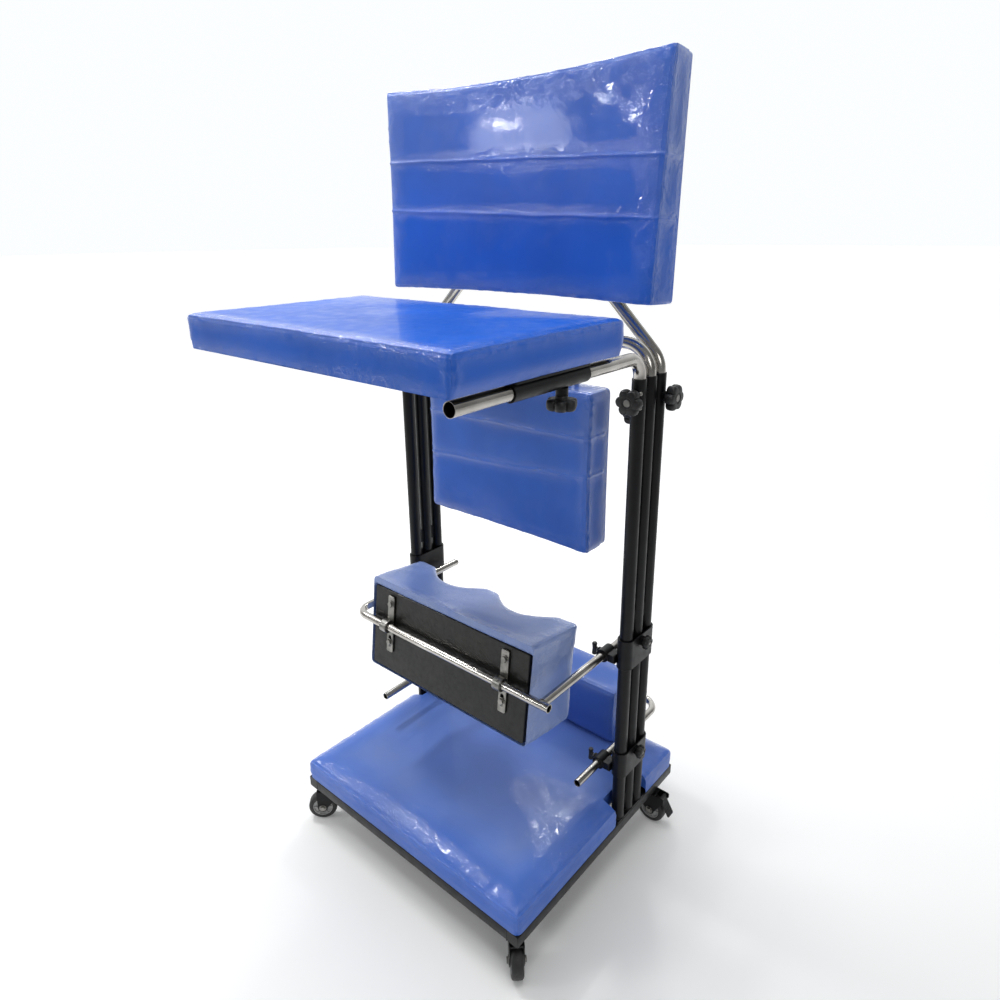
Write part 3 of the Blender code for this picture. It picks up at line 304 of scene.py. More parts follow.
def slab(bm, width, length, radius, low, high, chamfer, matrix, steps=6):
    """A plate with round corners and chamfered edges, between two heights."""
    narrow = rounded(width - 2 * chamfer, length - 2 * chamfer, max(radius - chamfer, chamfer), steps)
    wide = rounded(width, length, radius, steps)
    levels = ((narrow, low), (wide, low + chamfer), (wide, high - chamfer), (narrow, high))
    skin(bm, [raised(outline, height) for outline, height in levels], matrix=matrix)


def framed(bm, outer, inner, low, high, chamfer, matrix, steps=6):
    """A plate with a hole: outer and inner are (width, length, corner radius, centre along Y)."""
    def loop(size, grow, height):
        width, length, radius, y = size
        outline = rounded(width + 2 * grow, length + 2 * grow, max(radius + grow, chamfer), steps)
        return [Vector((point.x, point.y + y, height)) for point in outline]

    rings = [loop(outer, -chamfer, high), loop(outer, 0, high - chamfer), loop(outer, 0, low + chamfer),
             loop(outer, -chamfer, low), loop(inner, chamfer, low), loop(inner, 0, low + chamfer),
             loop(inner, 0, high - chamfer), loop(inner, chamfer, high)]
    skin(bm, rings, closed=True, matrix=matrix)


def bead(bm, path, radius, ripple=0.0025):
    """A weld bead: a thin rope along a path whose thickness ripples."""
    path = [Vector(point) for point in path]
    points, radii = [], []
    for start, end in zip(path, path[1:]):
        steps = max(2, int((end - start).length / ripple * 2))
        for i in range(steps):
            points.append(start.lerp(end, i / steps))
    points.append(path[-1])
    for i in range(len(points)):
        at_end = i in (0, len(points) - 1)
        radii.append(radius * (0.35 if at_end else 1.0 if i % 2 else 0.82))
    skin(bm, swept(points, radii, 8))


def piece(name, bm, finish, body, *replaced, angle=35.0):
    """A finished mesh that rides on a body of the frame. finish is a material and its slot, and the slot is
    not used.
    """
    material, slot = finish
    bmesh.ops.recalc_face_normals(bm, faces=bm.faces)
    mesh = bpy.data.meshes.new(name)
    bm.to_mesh(mesh)
    bm.free()
    mesh.materials.append(material)
    mesh.shade_smooth()
    mesh.set_sharp_from_angle(angle=math.radians(angle))
    obj = bpy.data.objects.new(name, mesh)
    scene.collection.objects.link(obj)
    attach(obj, body)
    if replaced:
        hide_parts(*replaced)
    return obj


# Materials

class Nodes:
    """Short ways to build the node tree of a material or a world."""

    def __init__(self, owner):
        owner.use_nodes = True
        self.tree = owner.node_tree

    def add(self, kind, inputs=None, **settings):
        node = self.tree.nodes.new(kind)
        for name, value in settings.items():
            setattr(node, name, value)
        for name, value in (inputs or {}).items():
            self.feed(node.inputs[name], value)
        return node

    def feed(self, socket, value):
        """Link a socket to another one, or set its own value."""
        if isinstance(value, bpy.types.NodeSocket):
            self.tree.links.new(value, socket)
        else:
            socket.default_value = value

    def spread(self, value, low, high, new_low, new_high, **settings):
        """A value from one range mapped to another and held inside it."""
        inputs = {"Value": value, "From Min": low, "From Max": high, "To Min": new_low, "To Max": new_high}
        return self.add("ShaderNodeMapRange", inputs, **settings).outputs["Result"]

    def rearward(self, place):
        """How far a place lies towards the rear."""
        inputs = {0: place, 1: REARWARD}
        return self.add("ShaderNodeVectorMath", inputs, operation="DOT_PRODUCT").outputs["Value"]


class Look(Nodes):
    """A node material built on one Principled shader."""

    def __init__(self, name, sockets):
        self.material = bpy.data.materials.new(name)
        super().__init__(self.material)
        self.shader = self.tree.nodes["Principled BSDF"]
        for socket, value in sockets.items():
            self.shader.inputs[socket].default_value = value
        self.place = self.add("ShaderNodeTexCoord").outputs["Object"]

    def drive(self, socket, value):
        self.tree.links.new(value, self.shader.inputs[socket])

    def calc(self, operation, *values):
        return self.add("ShaderNodeMath", dict(enumerate(values)), operation=operation).outputs[0]

    def noise(self, scale, detail=2.0, roughness=0.5, distortion=0.0, stretch=(1, 1, 1)):
        place = self.add("ShaderNodeMapping", {"Vector": self.place, "Scale": stretch}).outputs["Vector"]
        node = self.add("ShaderNodeTexNoise", {"Vector": place, "Scale": scale, "Detail": detail,
                                               "Roughness": roughness, "Distortion": distortion})
        return node.outputs["Fac"]

    def blend(self, factor, first, second):
        """A mix of two colours, each a socket or (red, green, blue)."""
        node = self.add("ShaderNodeMix", {"Factor": factor}, data_type="RGBA")
        for name, value in (("A", first), ("B", second)):
            socket = next(s for s in node.inputs if s.name == name and s.type == "RGBA")
            self.feed(socket, (*value, 1.0) if isinstance(value, tuple) else value)
        return next(s for s in node.outputs if s.type == "RGBA")

    def ridges(self, value):
        """Sharp creases where a noise crosses its middle."""
        fold = self.calc("ABSOLUTE", self.calc("SUBTRACT", value, 0.5))
        return self.spread(fold, 0.0, 0.09, 1.0, 0.0)

    def bump(self, height, distance, strength=1.0, normal=None):
        inputs = {"Height": height, "Distance": distance, "Strength": strength}
        if normal is not None:
            inputs["Normal"] = normal
        return self.add("ShaderNodeBump", inputs).outputs["Normal"]


def vinyl_look():
    """Royal blue vinyl under a tight clear wrapping, creased at its edges, its blue paled by painted glare of
    the wrapping in random patches and by each pad's own amount.
    """
    look = Look("blue_vinyl", {"Specular IOR Level": 0.12, "Coat Roughness": 0.03, "Coat IOR": 1.6})
    patches = look.spread(look.noise(5.5, 3.0), 0.35, 0.65, 0.0, 1.0)
    blue = look.blend(patches, (0.011, 0.098, 0.500), (0.015, 0.120, 0.600))
    painted_glare = look.add("ShaderNodeAttribute", attribute_name="painted_glare").outputs["Fac"]
    crinkle = look.add("ShaderNodeAttribute", attribute_name="crinkle").outputs["Fac"]
    # Painted glare: random patches plus the glare stored on each pad pale the blue towards grey-blue (0.40,
    # 0.47, 0.56), in place of the wrapping's reflections.
    glare_and_haze = look.spread(look.noise(9.0, 4.0, 0.6, 0.6), 0.52, 0.80, 0.0, 0.06)
    look.drive("Base Color", look.blend(look.calc("ADD", glare_and_haze, painted_glare), blue, (0.40, 0.47, 0.56)))
    look.drive("Coat Weight", look.spread(crinkle, 0.0, 1.0, 0.14, 1.0))
    look.drive("Roughness", look.spread(look.noise(40.0, 4.0), *USUAL, 0.28, 0.46))
    look.drive("Normal", look.bump(look.noise(950.0, 2.0), 0.00012, 0.35))
    crumple = look.ridges(look.noise(17.0, 3.0, 0.55, 1.4))
    fine = look.ridges(look.noise(46.0, 3.0, 0.6, 2.0))
    creases = look.calc("MULTIPLY", look.calc("ADD", crumple, fine), crinkle)
    wavy = look.bump(look.noise(5.0, 1.0), 0.004, 0.20)
    look.drive("Coat Normal", look.bump(creases, 0.0011, 0.55, wavy))
    return look


def plain_look(name, sockets, tones, shade, rough, grain):
    """A finish whose tone, roughness and fine relief each follow a noise.

    shade is (noise settings, its range). rough adds the range of the roughness to these.
    grain is (noise settings, depth, strength).
    """
    look = Look(name, sockets)
    settings, span = shade
    look.drive("Base Color", look.blend(look.spread(look.noise(*settings), *span, 0.0, 1.0), *tones))
    if rough:
        settings, span, limits = rough
        look.drive("Roughness", look.spread(look.noise(*settings), *span, *limits))
    settings, depth, strength = grain
    look.drive("Normal", look.bump(look.noise(*settings), depth, strength))
    return look


# Usual and full range of a noise
USUAL = (0.3, 0.7)
FULL = (0.0, 1.0)

# Each finish is a material and the record slot that it stands for
VINYL = (vinyl_look().material, "vinyl")

# Black faced board under the same clear wrapping
faced = plain_look("black_board", {"Specular IOR Level": 0.15, "Coat Weight": 0.4, "Coat Roughness": 0.06},
                   ((0.003, 0.003, 0.003), (0.011, 0.011, 0.008)), ((14.0, 4.0), USUAL),
                   ((90.0, 3.0), USUAL, (0.38, 0.62)), ((420.0, 3.0), 0.0002, 0.4))
faced.drive("Coat Normal", faced.bump(faced.ridges(faced.noise(22.0, 3.0, 0.6, 1.8)), 0.0012, 0.3))
BOARD = (faced.material, "board")

# Polished steel tube, a little dulled by handling
polished = plain_look("chrome_tube", {"Metallic": 1.0},
                      ((0.40, 0.38, 0.35), (0.58, 0.56, 0.53)), ((24.0, 4.0), USUAL),
                      ((18.0, 5.0, 0.65, 0.8), (0.3, 0.75), (0.15, 0.27)), ((500.0, 3.0), 0.00002, 0.04))
CHROME = (polished.material, "chrome")

# Semi-gloss black powder coat with a faint orange peel
coated = plain_look("black_paint", {"Specular IOR Level": 0.22, "Coat Weight": 0.05, "Coat Roughness": 0.2},
                    ((0.004, 0.004, 0.005), (0.010, 0.010, 0.011)), ((9.0, 5.0, 0.6), (0.40, 0.75)),
                    ((55.0, 4.0), USUAL, (0.28, 0.46)), ((420.0, 2.0), 0.00025, 0.35))
PAINT = (coated.material, "black_paint")

# Moulded black plastic with a fine spark-eroded grain
moulded = plain_look("black_plastic", {"Specular IOR Level": 0.4},
                     ((0.008, 0.008, 0.009), (0.022, 0.022, 0.023)), ((30.0, 3.0), FULL),
                     ((160.0, 3.0), USUAL, (0.34, 0.52)), ((1300.0, 2.0), 0.0001, 0.4))
PLASTIC = (moulded.material, "plastic")

# Zinc-plated steel with a brushed, slightly cloudy surface
plated = plain_look("zinc_steel", {"Metallic": 1.0},
                    ((0.18, 0.18, 0.17), (0.34, 0.33, 0.31)), ((50.0, 4.0), USUAL),
                    ((120.0, 4.0), USUAL, (0.26, 0.48)), ((260.0, 2.0, 0.5, 0.0, (1, 1, 12)), 0.0001, 0.3))
ZINC = (plated.material, "zinc")

# Wheels: dark tyre and grey hub
tyre = plain_look("wheel_rubber", {}, ((0.010, 0.010, 0.011), (0.030, 0.029, 0.028)), ((45.0, 4.0), FULL),
                  ((200.0, 3.0), USUAL, (0.42, 0.66)), ((600.0, 3.0), 0.0002, 0.4))
RUBBER = (tyre.material, "wheel")
core = plain_look("wheel_hub", {"Roughness": 0.35, "Coat Weight": 0.3},
                  ((0.30, 0.30, 0.30), (0.44, 0.44, 0.43)), ((60.0, 3.0), FULL), None,
                  ((700.0, 2.0), 0.0001, 0.4))
HUB = (core.material, "wheel")


def dress_boards():
    """Give the CAD boards that stay in view their finish, and soften their edges."""
    for name, node in frame["nodes"].items():
        if name.endswith("_board") and name != "knee_board":
            node.data.materials.clear()
            node.data.materials.append(BOARD[0])
            edge = node.modifiers.new("edge", "BEVEL")
            edge.width = 0.001
            edge.segments = 2
            edge.limit_method = "ANGLE"


# Chrome tubes

def mirrored(points):
    return [Vector((-point.x, point.y, point.z)) for point in reversed(points)]


def column_bar(name, path, body, node):
    """A bent tube whose legs slide in column tubes."""
    bm = bmesh.new()
    pipe(bm, path, INNER_RADIUS, TUBE_WALL, 40)
    piece(name, bm, CHROME, body, node)


def tray_arms():
    for label, side in SIDES:
        x, y = side * COLUMN_X, COLUMN_Y - TUBE_PITCH
        bend = arc((x, y - ARM_BEND, ARM_Z - ARM_BEND), ARM_BEND, Y, Z, 0, 90)
        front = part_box("tray_arm_" + label)[0].y
        path = [(x, y, COLUMN_TOP - LEG_LENGTH), *bend, (x, front, ARM_Z)]
        column_bar("tray_arm_tube_" + label, path, "tray_arms", "tray_arm_" + label)


def hip_bar():
    bend = arc((COLUMN_X - HIP_BEND, COLUMN_Y, HIP_BAR_Z - HIP_BEND), HIP_BEND, X, Z, 0, 90)
    half = [Vector((COLUMN_X, COLUMN_Y, COLUMN_TOP - LEG_LENGTH)), *bend]
    column_bar("hip_bar_tube", half + mirrored(half), "hip_frame", "hip_bar")


def back_bar():
    y = COLUMN_Y + TUBE_PITCH
    low = arc((COLUMN_X - BACK_BEND, y, BACK_BEND_Z), BACK_BEND, X, Z, 0, 45, 9)
    corner = BACK_BEND * math.sin(math.radians(45))
    run = BACK_BAR_Z - BACK_BEND + corner - low[-1].z
    centre = (low[-1].x - run - corner, y, BACK_BAR_Z - BACK_BEND)
    high = arc(centre, BACK_BEND, X, Z, 45, 90, 9)
    half = [Vector((COLUMN_X, y, COLUMN_TOP - LEG_LENGTH)), *low, *high]
    column_bar("back_bar_tube", half + mirrored(half), "back_frame", "back_bar")


def knee_bar():
    """A bent tube whose right leg is welded on, with a bead that follows the joint."""
    bend = arc((-BAR_X + KNEE_BEND, KNEE_BAR_Y + KNEE_BEND, KNEE_BAR_Z), KNEE_BEND, -X, -Y, 0, 90)
    path = [(-BAR_X, KNEE_BAR_REAR, KNEE_BAR_Z), *bend, (KNEE_BAR_END, KNEE_BAR_Y, KNEE_BAR_Z)]
    bm = bmesh.new()
    pipe(bm, path, BAR_RADIUS, BAR_WALL)
    start = KNEE_BAR_Y + BAR_RADIUS - BAR_WALL
    pipe(bm, [(BAR_X, start, KNEE_BAR_Z), (BAR_X, KNEE_BAR_REAR, KNEE_BAR_Z)], BAR_RADIUS, BAR_WALL)
    piece("knee_bar_tube", bm, CHROME, "knee_slider", "knee_bar")
    bm = bmesh.new()
    loop, steps = [], 32
    for i in range(steps + 1):
        angle = 2 * math.pi * i / steps
        across, up = math.cos(angle) * BAR_RADIUS, math.sin(angle) * BAR_RADIUS
        depth = math.sqrt(max(0.0, BAR_RADIUS ** 2 - up ** 2))
        loop.append((BAR_X + across, KNEE_BAR_Y + depth, KNEE_BAR_Z + up))
    bead(bm, loop, BAR_WELD, 0.0022)
    piece("knee_bar_weld", bm, ZINC, "knee_slider")


def heel_bar():
    """The heel bar, with the welded and screwed tabs that carry the heel board."""
    right = arc((BAR_X - HEEL_BEND, HEEL_BAR_Y - HEEL_BEND, HEEL_BAR_Z), HEEL_BEND, X, Y, 0, 90)
    path = [(BAR_X, HEEL_RIGHT_END, HEEL_BAR_Z), *right, *mirrored(right),
            (-BAR_X, HEEL_LEFT_END, HEEL_BAR_Z)]
    bm = bmesh.new()
    pipe(bm, path, BAR_RADIUS, BAR_WALL)
    piece("heel_bar_tube", bm, CHROME, "heel_slider", "heel_bar")
    tabs = bmesh.new()
    metal = bmesh.new()
    width, height, corner = 0.030, 0.070, 0.004
    weld_reach, weld_rise, screw_rise = 0.013, 0.0062, 0.026
    front = HEEL_BAR_Y - BAR_RADIUS
    face = front + HEEL_TAB_THICK
    for side in BOTH:
        x = side * HEEL_TAB_X
        slab(tabs, width, height, corner, 0.0, HEEL_TAB_THICK, SHEET_CHAMFER,
             aimed((x, front, HEEL_BAR_Z), Y))
        for rise in BOTH:
            z = HEEL_BAR_Z + rise * weld_rise
            bead(metal, [(x - weld_reach, face, z), (x + weld_reach, face, z)], TUBE_WELD)
        for rise in BOTH:
            dome_screw(metal, aimed((x, face, HEEL_BAR_Z + rise * screw_rise), Y), *SCREW)
    piece("heel_bar_tabs", tabs, PAINT, "heel_slider")
    piece("heel_bar_welds", metal, ZINC, "heel_slider")


# Fasteners

def dome_screw(bm, matrix, radius, height):
    """A round screw head with a cross recess hinted by a dimple."""
    shares = ((1, 0), (1, 0.25), (0.86, 0.62), (0.55, 0.92), (0.34, 1), (0.22, 0.70))
    lathe(bm, [(radius * across, height * up) for across, up in shares], matrix, 20)


def hex_head(bm, matrix, radius, height):
    """A six-sided bolt head with a chamfered crown on a washer."""
    washer = radius * 1.32
    lathe(bm, [(washer, 0.0), (washer, 0.0010), (washer * 0.97, 0.0013)], matrix, 24)
    lathe(bm, [(radius, 0.0011), (radius, height - 0.0006), (radius * 0.88, height)], matrix, 6)


# Columns

def columns():
    foot = FRAME_TOP + FOOT_THICK
    gap = TUBE_PITCH - 2 * TUBE_RADIUS + 2 * TUBE_WALL
    heights = (foot + FOOT_LAP + WEB_HEIGHT, (COLUMN_TOP + foot + FOOT_LAP) / 2, COLUMN_TOP - WEB_HEIGHT)
    weld_x, weld_y, weld_reach = WEB_THICK * 0.55, gap * 0.40, Z * (WEB_HEIGHT / 2 - 0.001)
    foot_margin, foot_corner, web_corner = 0.005, 0.003, 0.0008
    for label, side in SIDES:
        x = side * COLUMN_X
        bm = bmesh.new()
        for y in TUBE_ROWS:
            ends = [(x, COLUMN_Y + y, foot - FOOT_LAP), (x, COLUMN_Y + y, COLUMN_TOP)]
            pipe(bm, ends, TUBE_RADIUS, TUBE_WALL, 40)
        piece("column_tubes_" + label, bm, PAINT, "base", "column_" + label)
        bm = bmesh.new()
        slab(bm, RAIL, 2 * (TUBE_PITCH + TUBE_RADIUS + foot_margin), foot_corner, FRAME_TOP, foot, CHAMFER,
             moved(x, COLUMN_Y, 0))
        beads = bmesh.new()
        for middle in (-TUBE_PITCH / 2, TUBE_PITCH / 2):
            for z in heights:
                slab(bm, WEB_THICK, gap, web_corner, z - WEB_HEIGHT / 2, z + WEB_HEIGHT / 2, PLATE_CHAMFER,
                     moved(x, COLUMN_Y + middle, 0), 2)
                for face in BOTH:
                    for edge in BOTH:
                        spot = Vector((x + face * weld_x, COLUMN_Y + middle + edge * weld_y, z))
                        bead(beads, [spot - weld_reach, spot + weld_reach], WEB_WELD)
        for y in TUBE_ROWS:
            foot_ring = ring((x, COLUMN_Y + y, foot), TUBE_RADIUS, X, Y, 40)
            bead(beads, foot_ring + foot_ring[:1], TUBE_WELD)
        piece("column_webs_" + label, bm, PAINT, "base")
        piece("column_welds_" + label, beads, PAINT, "base")
        column_trim(label, x, side)


def column_trim(label, x, side):
    """Knob bosses, guide bushes in the tube tops and the screws beside the front knob."""
    bm = bmesh.new()
    for name in TUBES:
        boss(bm, f"{name}_knob_turn_{label}", BOSS_RADIUS, BOSS_BORE, BOSS_HEIGHT + TUBE_WALL)
    piece("column_bosses_" + label, bm, PAINT, "base")
    bm = bmesh.new()
    bore, plug, depth = INNER_RADIUS + 0.0002, TUBE_RADIUS - TUBE_WALL - 0.00005, 0.008
    top, rim, seat = 0.0012, 0.0004, 0.0001
    profile = [(bore, -depth), (bore, top), (TUBE_RADIUS - rim, top), (TUBE_RADIUS, top - rim),
               (TUBE_RADIUS, seat), (plug, seat), (plug, -depth)]
    for y in TUBE_ROWS:
        lathe(bm, profile, moved(x, COLUMN_Y + y, COLUMN_TOP), closed=True)
    piece("column_bushes_" + label, bm, PLASTIC, "base")
    bm = bmesh.new()
    outward = Vector((side, -1, 0)).normalized()
    screw_rise, sunk = 0.0125, 0.0002
    for rise in BOTH:
        spot = Vector((x, COLUMN_Y - TUBE_PITCH, COLUMN_TOP - FRONT_KNOB_DROP + rise * screw_rise))
        spot += outward * (TUBE_RADIUS - sunk)
        dome_screw(bm, aimed(spot, outward), *SMALL_SCREW)
    piece("column_screws_" + label, bm, ZINC, "base")


# Base frame

def rail(bm, start, end, across):
    """A square tube with round corners between two points."""
    start, end = Vector(start), Vector(end)
    placed = aimed(start, end - start)
    turn = placed.inverted().to_3x3() @ Vector(across)
    placed = placed @ Matrix.Rotation(math.atan2(turn.y, turn.x), 4, "Z")
    slab(bm, RAIL, RAIL, RAIL_CORNER, 0.0, (end - start).length, CHAMFER, placed, 4)


def base_frame():
    """Square tubes with their welds, and the bolted plates of the casters."""
    middle, reach = RAIL_LOW + RAIL / 2, COLUMN_X - RAIL / 2
    weld_x, weld_y, weld_up = reach - 0.0006, RAIL / 2 * 0.92, Z * RAIL * 0.96
    bm = bmesh.new()
    beads = bmesh.new()
    for side in BOTH:
        rail(bm, (side * COLUMN_X, BASE_FRONT, middle), (side * COLUMN_X, BASE_REAR, middle), X)
    for y in (BASE_FRONT + RAIL / 2, MID_RAIL_Y, REAR_RAIL_Y, BASE_REAR - RAIL / 2):
        rail(bm, (-reach, y, middle), (reach, y, middle), Y)
        for x in (-weld_x, weld_x):
            for edge in BOTH:
                low = Vector((x, y + edge * weld_y, RAIL_LOW))
                bead(beads, [low, low + weld_up], RAIL_WELD)
            bead(beads, [(x, y - RAIL / 2, RAIL_LOW), (x, y + RAIL / 2, RAIL_LOW)], RAIL_WELD)
    bolts = bmesh.new()
    under = RAIL_LOW - PLATE_THICK
    for name in CORNERS:
        x, y, _ = joints["swivel_" + name]["pos_m"]
        slab(bm, PLATE_SIZE, PLATE_SIZE, PLATE_CORNER, under, RAIL_LOW + PLATE_LAP, PLATE_CHAMFER,
             moved(x, y, 0))
        for dx in BOTH:
            for dy in BOTH:
                spot = (x + dx * PLATE_BOLT, y + dy * PLATE_BOLT, under)
                hex_head(bolts, aimed(spot, -Z), *PLATE_HEAD)
    piece("base_rails", bm, PAINT, "base", "base_frame")
    piece("base_welds", beads, PAINT, "base")
    piece("caster_plate_bolts", bolts, ZINC, "base")


# Casters

def casters():
    for name in CORNERS:
        pivot, axle = (Vector(joints[joint + name]["pos_m"]) for joint in ("swivel_", "roll_"))
        trail = Vector((axle.x - pivot.x, axle.y - pivot.y, 0))
        swing = Matrix.Rotation(math.atan2(trail.y, trail.x), 4, "Z")
        placed = Matrix.Translation(pivot) @ swing
        caster_fork(name, placed, trail.length)
        caster_wheel(name, Matrix.Translation(axle) @ swing)
        if name.startswith("rear"):
            brake_pedal(name, placed)


def caster_fork(name, placed, trail):
    """Two cheeks under a bridge and a swivel bearing, with a bolted axle."""
    top = RAIL_LOW - PLATE_THICK - SWIVEL_GAP - BEARING_HEIGHT + FORK_LAP
    cheek = WHEEL_HALF + FORK_GAP
    sheet, corner, bridge_corner = FORK_SHEET, 0.002, 0.003
    front, front_drop, rear_drop = -0.019, 0.010, 0.0105
    back = trail + CHEEK_RADIUS
    reach = BRAKE_REACH if name.startswith("rear") else back
    corners = ((front, top - front_drop), (front, top - corner), (front + corner, top),
               (reach - corner, top), (reach, top - corner), (reach, top - rear_drop))
    outline = [Vector((x, y, 0)) for x, y in corners]
    outline += arc((trail, WHEEL_RADIUS, 0), CHEEK_RADIUS, X, Y, 0, -180, 16)
    middle, inset_share = Vector((trail, 0.05, 0)), 0.015
    shrunk = [point.lerp(middle, inset_share) for point in outline]
    levels = ((shrunk, -sheet / 2), (outline, -sheet / 2 + PLATE_CHAMFER),
              (outline, sheet / 2 - PLATE_CHAMFER), (shrunk, sheet / 2))
    bm = bmesh.new()
    for side in BOTH:
        upright = placed @ moved(0, side * (cheek + sheet / 2), 0) @ spun("X", 90)
        skin(bm, [raised(loop, z) for loop, z in levels], matrix=upright)
    slab(bm, back - front, 2 * cheek + sheet, bridge_corner, top - FORK_BRIDGE, top, CHAMFER,
         placed @ moved((front + back) / 2, 0, 0))
    bearing = ((0.010, -0.001), (0.0165, -0.001), (0.0190, 0.0012), (0.0190, 0.0030), (0.0176, 0.0040),
               (0.0176, 0.0047), (0.0190, 0.0056), (0.0182, 0.0079), (0.010, 0.0080))
    lathe(bm, [(radius, top + rise) for radius, rise in bearing], placed)
    piece("caster_fork_body_" + name, bm, PAINT, "caster_" + name, "caster_fork_" + name)
    bm = bmesh.new()
    for side in BOTH:
        spot = placed @ moved(trail, side * (cheek + sheet), WHEEL_RADIUS)
        hex_head(bm, spot @ spun("X", -90 * side), *AXLE_HEAD)
    lathe(bm, [(0.004, -cheek - sheet), (0.004, cheek + sheet)],
          placed @ moved(trail, 0, WHEEL_RADIUS) @ spun("X", 90), 20)
    lathe(bm, [(0.0075, 0), (0.0075, -0.0015), (0.005, -0.003)], placed @ moved(0, 0, top - FORK_BRIDGE), 24)
    piece("caster_axle_" + name, bm, ZINC, "caster_" + name)


def caster_wheel(name, placed):
    sideways = placed @ spun("X", 90)
    half = WHEEL_HALF
    tread = [(0.0215, half - 0.0006), (0.0270, half), (0.0290, half - 0.0008), (0.0307, half - 0.0026),
             (WHEEL_RADIUS, half - 0.0055)]
    bm = bmesh.new()
    lathe(bm, tread + flipped(tread), sideways, 64, closed=True)
    piece("caster_tyre_" + name, bm, RUBBER, "wheel_" + name, "caster_wheel_" + name)
    bm = bmesh.new()
    sunk = ((0.0046, 0.0002), (0.0088, 0.0002), (0.0094, 0.0008), (0.0094, 0.0030),
            (0.0195, 0.0036), (0.0203, 0.0008), (0.0215, 0.0004), (0.0217, 0.0012))
    disc = [(radius, half - depth) for radius, depth in sunk]
    lathe(bm, disc + flipped(disc), sideways, 48, closed=True)
    rib_length, rib_width, rib_corner = 0.0115, 0.0022, 0.0008
    rib_half, rib_depth, rib_place = 0.0014, 0.0024, 0.0146
    for side in BOTH:
        level = side * (half - rib_depth)
        for spoke in range(6):
            rib = sideways @ spun("Z", 60 * spoke) @ moved(rib_place, 0, 0)
            slab(bm, rib_length, rib_width, rib_corner, level - rib_half, level + rib_half, SHEET_CHAMFER,
                 rib, 2)
    piece("caster_hub_" + name, bm, HUB, "wheel_" + name)


def brake_pedal(name, placed):
    """A sloping pedal with a ribbed tread, on a pin between the cheeks of the fork."""
    pivot = joints["brake_press_" + name.split("_")[1]]["pos_m"]
    width, thick, corner = 2 * PEDAL_HALF, 0.003, 0.003
    rib_width, rib_margin, rib_low, rib_high = 0.0018, 0.004, 0.0012, 0.0024
    rib_corner, rib_chamfer = 0.0006, 0.0003
    length = math.hypot(PEDAL_RUN, PEDAL_DROP)
    level = Matrix.Translation(pivot) @ placed.to_3x3().to_4x4()
    sloped = level @ Matrix.Rotation(math.atan2(PEDAL_DROP, PEDAL_RUN), 4, "Y")
    bm = bmesh.new()
    slab(bm, length, width, corner, -thick / 2, thick / 2, CHAMFER, sloped @ moved(length / 2, 0, 0))
    for step in range(5):
        place = sloped @ moved(length * (0.42 + 0.12 * step), 0, 0)
        slab(bm, rib_width, width - rib_margin, rib_corner, rib_low, rib_high, rib_chamfer, place, 2)
    across = level @ spun("X", 90)
    rod(bm, 0.0042, PEDAL_HALF, CHAMFER, across, 24)
    piece("brake_tread_" + name, bm, PLASTIC, "brake_" + name, "brake_pedal_" + name)
    bm = bmesh.new()
    rod(bm, 0.0025, 0.0138, SHEET_CHAMFER, across, 20)
    piece("brake_pin_" + name, bm, ZINC, "brake_" + name)


# Knobs

def scalloped(radius, depth, height, lobes=6, count=96):
    """One level of a star knob: round lobes with tight valleys between them."""
    points = []
    for i in range(count):
        angle = 2 * math.pi * i / count
        reach = radius - depth * (1 - abs(math.cos(lobes / 2 * angle)) ** 0.75)
        points.append(Vector((reach * math.cos(angle), reach * math.sin(angle), height)))
    return points


def knob_head(bm, matrix, radius, depth, low, high):
    """A moulded head with rounded rims and a shallow dish on top."""
    thick = high - low
    levels = ((0.0040, 0.0), (0.0016, 0.05), (0.0004, 0.16), (0.0, 0.34), (0.0, 0.64), (0.0006, 0.80),
              (0.0020, 0.93), (0.0042, 1.0))
    rings = [scalloped(radius - inset, depth * (1 - inset / 0.012), low + thick * share)
             for inset, share in levels]
    dish = radius * 0.42
    rings.append(ring((0, 0, high), dish, X, Y, 96))
    rings.append(ring((0, 0, high - 0.0010), dish * 0.93, X, Y, 96))
    skin(bm, rings, matrix=matrix)


def knobs():
    star = {"head": (0.024, 0.0062, 0.006, 0.022), "top": 0.004, "sides": 24,
            "cap": ((0.0062, 0.0205), (0.0062, 0.0216), (0.0054, 0.0222)),
            "neck": ((0.0088, 0.0003), (0.0095, 0.0010), (0.0095, 0.0050), (0.0120, 0.0068))}
    small = {"head": (0.014, 0.0030, 0.0003, 0.0123), "top": 0.002, "sides": 20,
             "cap": ((0.0032, 0.0110), (0.0032, 0.0119), (0.0027, 0.0123))}
    for label, _ in SIDES:
        for name in TUBES:
            round_knob(f"{name}_tube_knob_{label}", f"{name}_knob_turn_{label}", COLUMN_STUD, **star)
        round_knob("tray_knob_" + label, "tray_knob_turn_" + label, TRAY_STUD, **star)
        for block in ("knee", "heel"):
            round_knob(f"{block}_collar_knob_{label}", f"{block}_knob_turn_{label}", COLLAR_STUD, **small)
            wing_knob(f"{block}_clamp_knob_{label}", f"{block}_wing_turn_{label}")


def round_knob(node, turn, stud, head, top, sides, cap, neck=None):
    """A lobed head on a stud, whose other end shows as a cap in the middle of the head."""
    body, seat = joints[turn]["child"], seat_of(turn)
    bm = bmesh.new()
    knob_head(bm, seat, *head)
    if neck:
        lathe(bm, neck, seat, 32)
    piece(node + "_head", bm, PLASTIC, body, node, angle=50)
    bm = bmesh.new()
    lathe(bm, [(0.0034, -stud), (0.0040, -stud + 0.0006), (0.0040, top)], seat, 20)
    lathe(bm, cap, seat, sides)
    piece(node + "_stud", bm, ZINC, body)


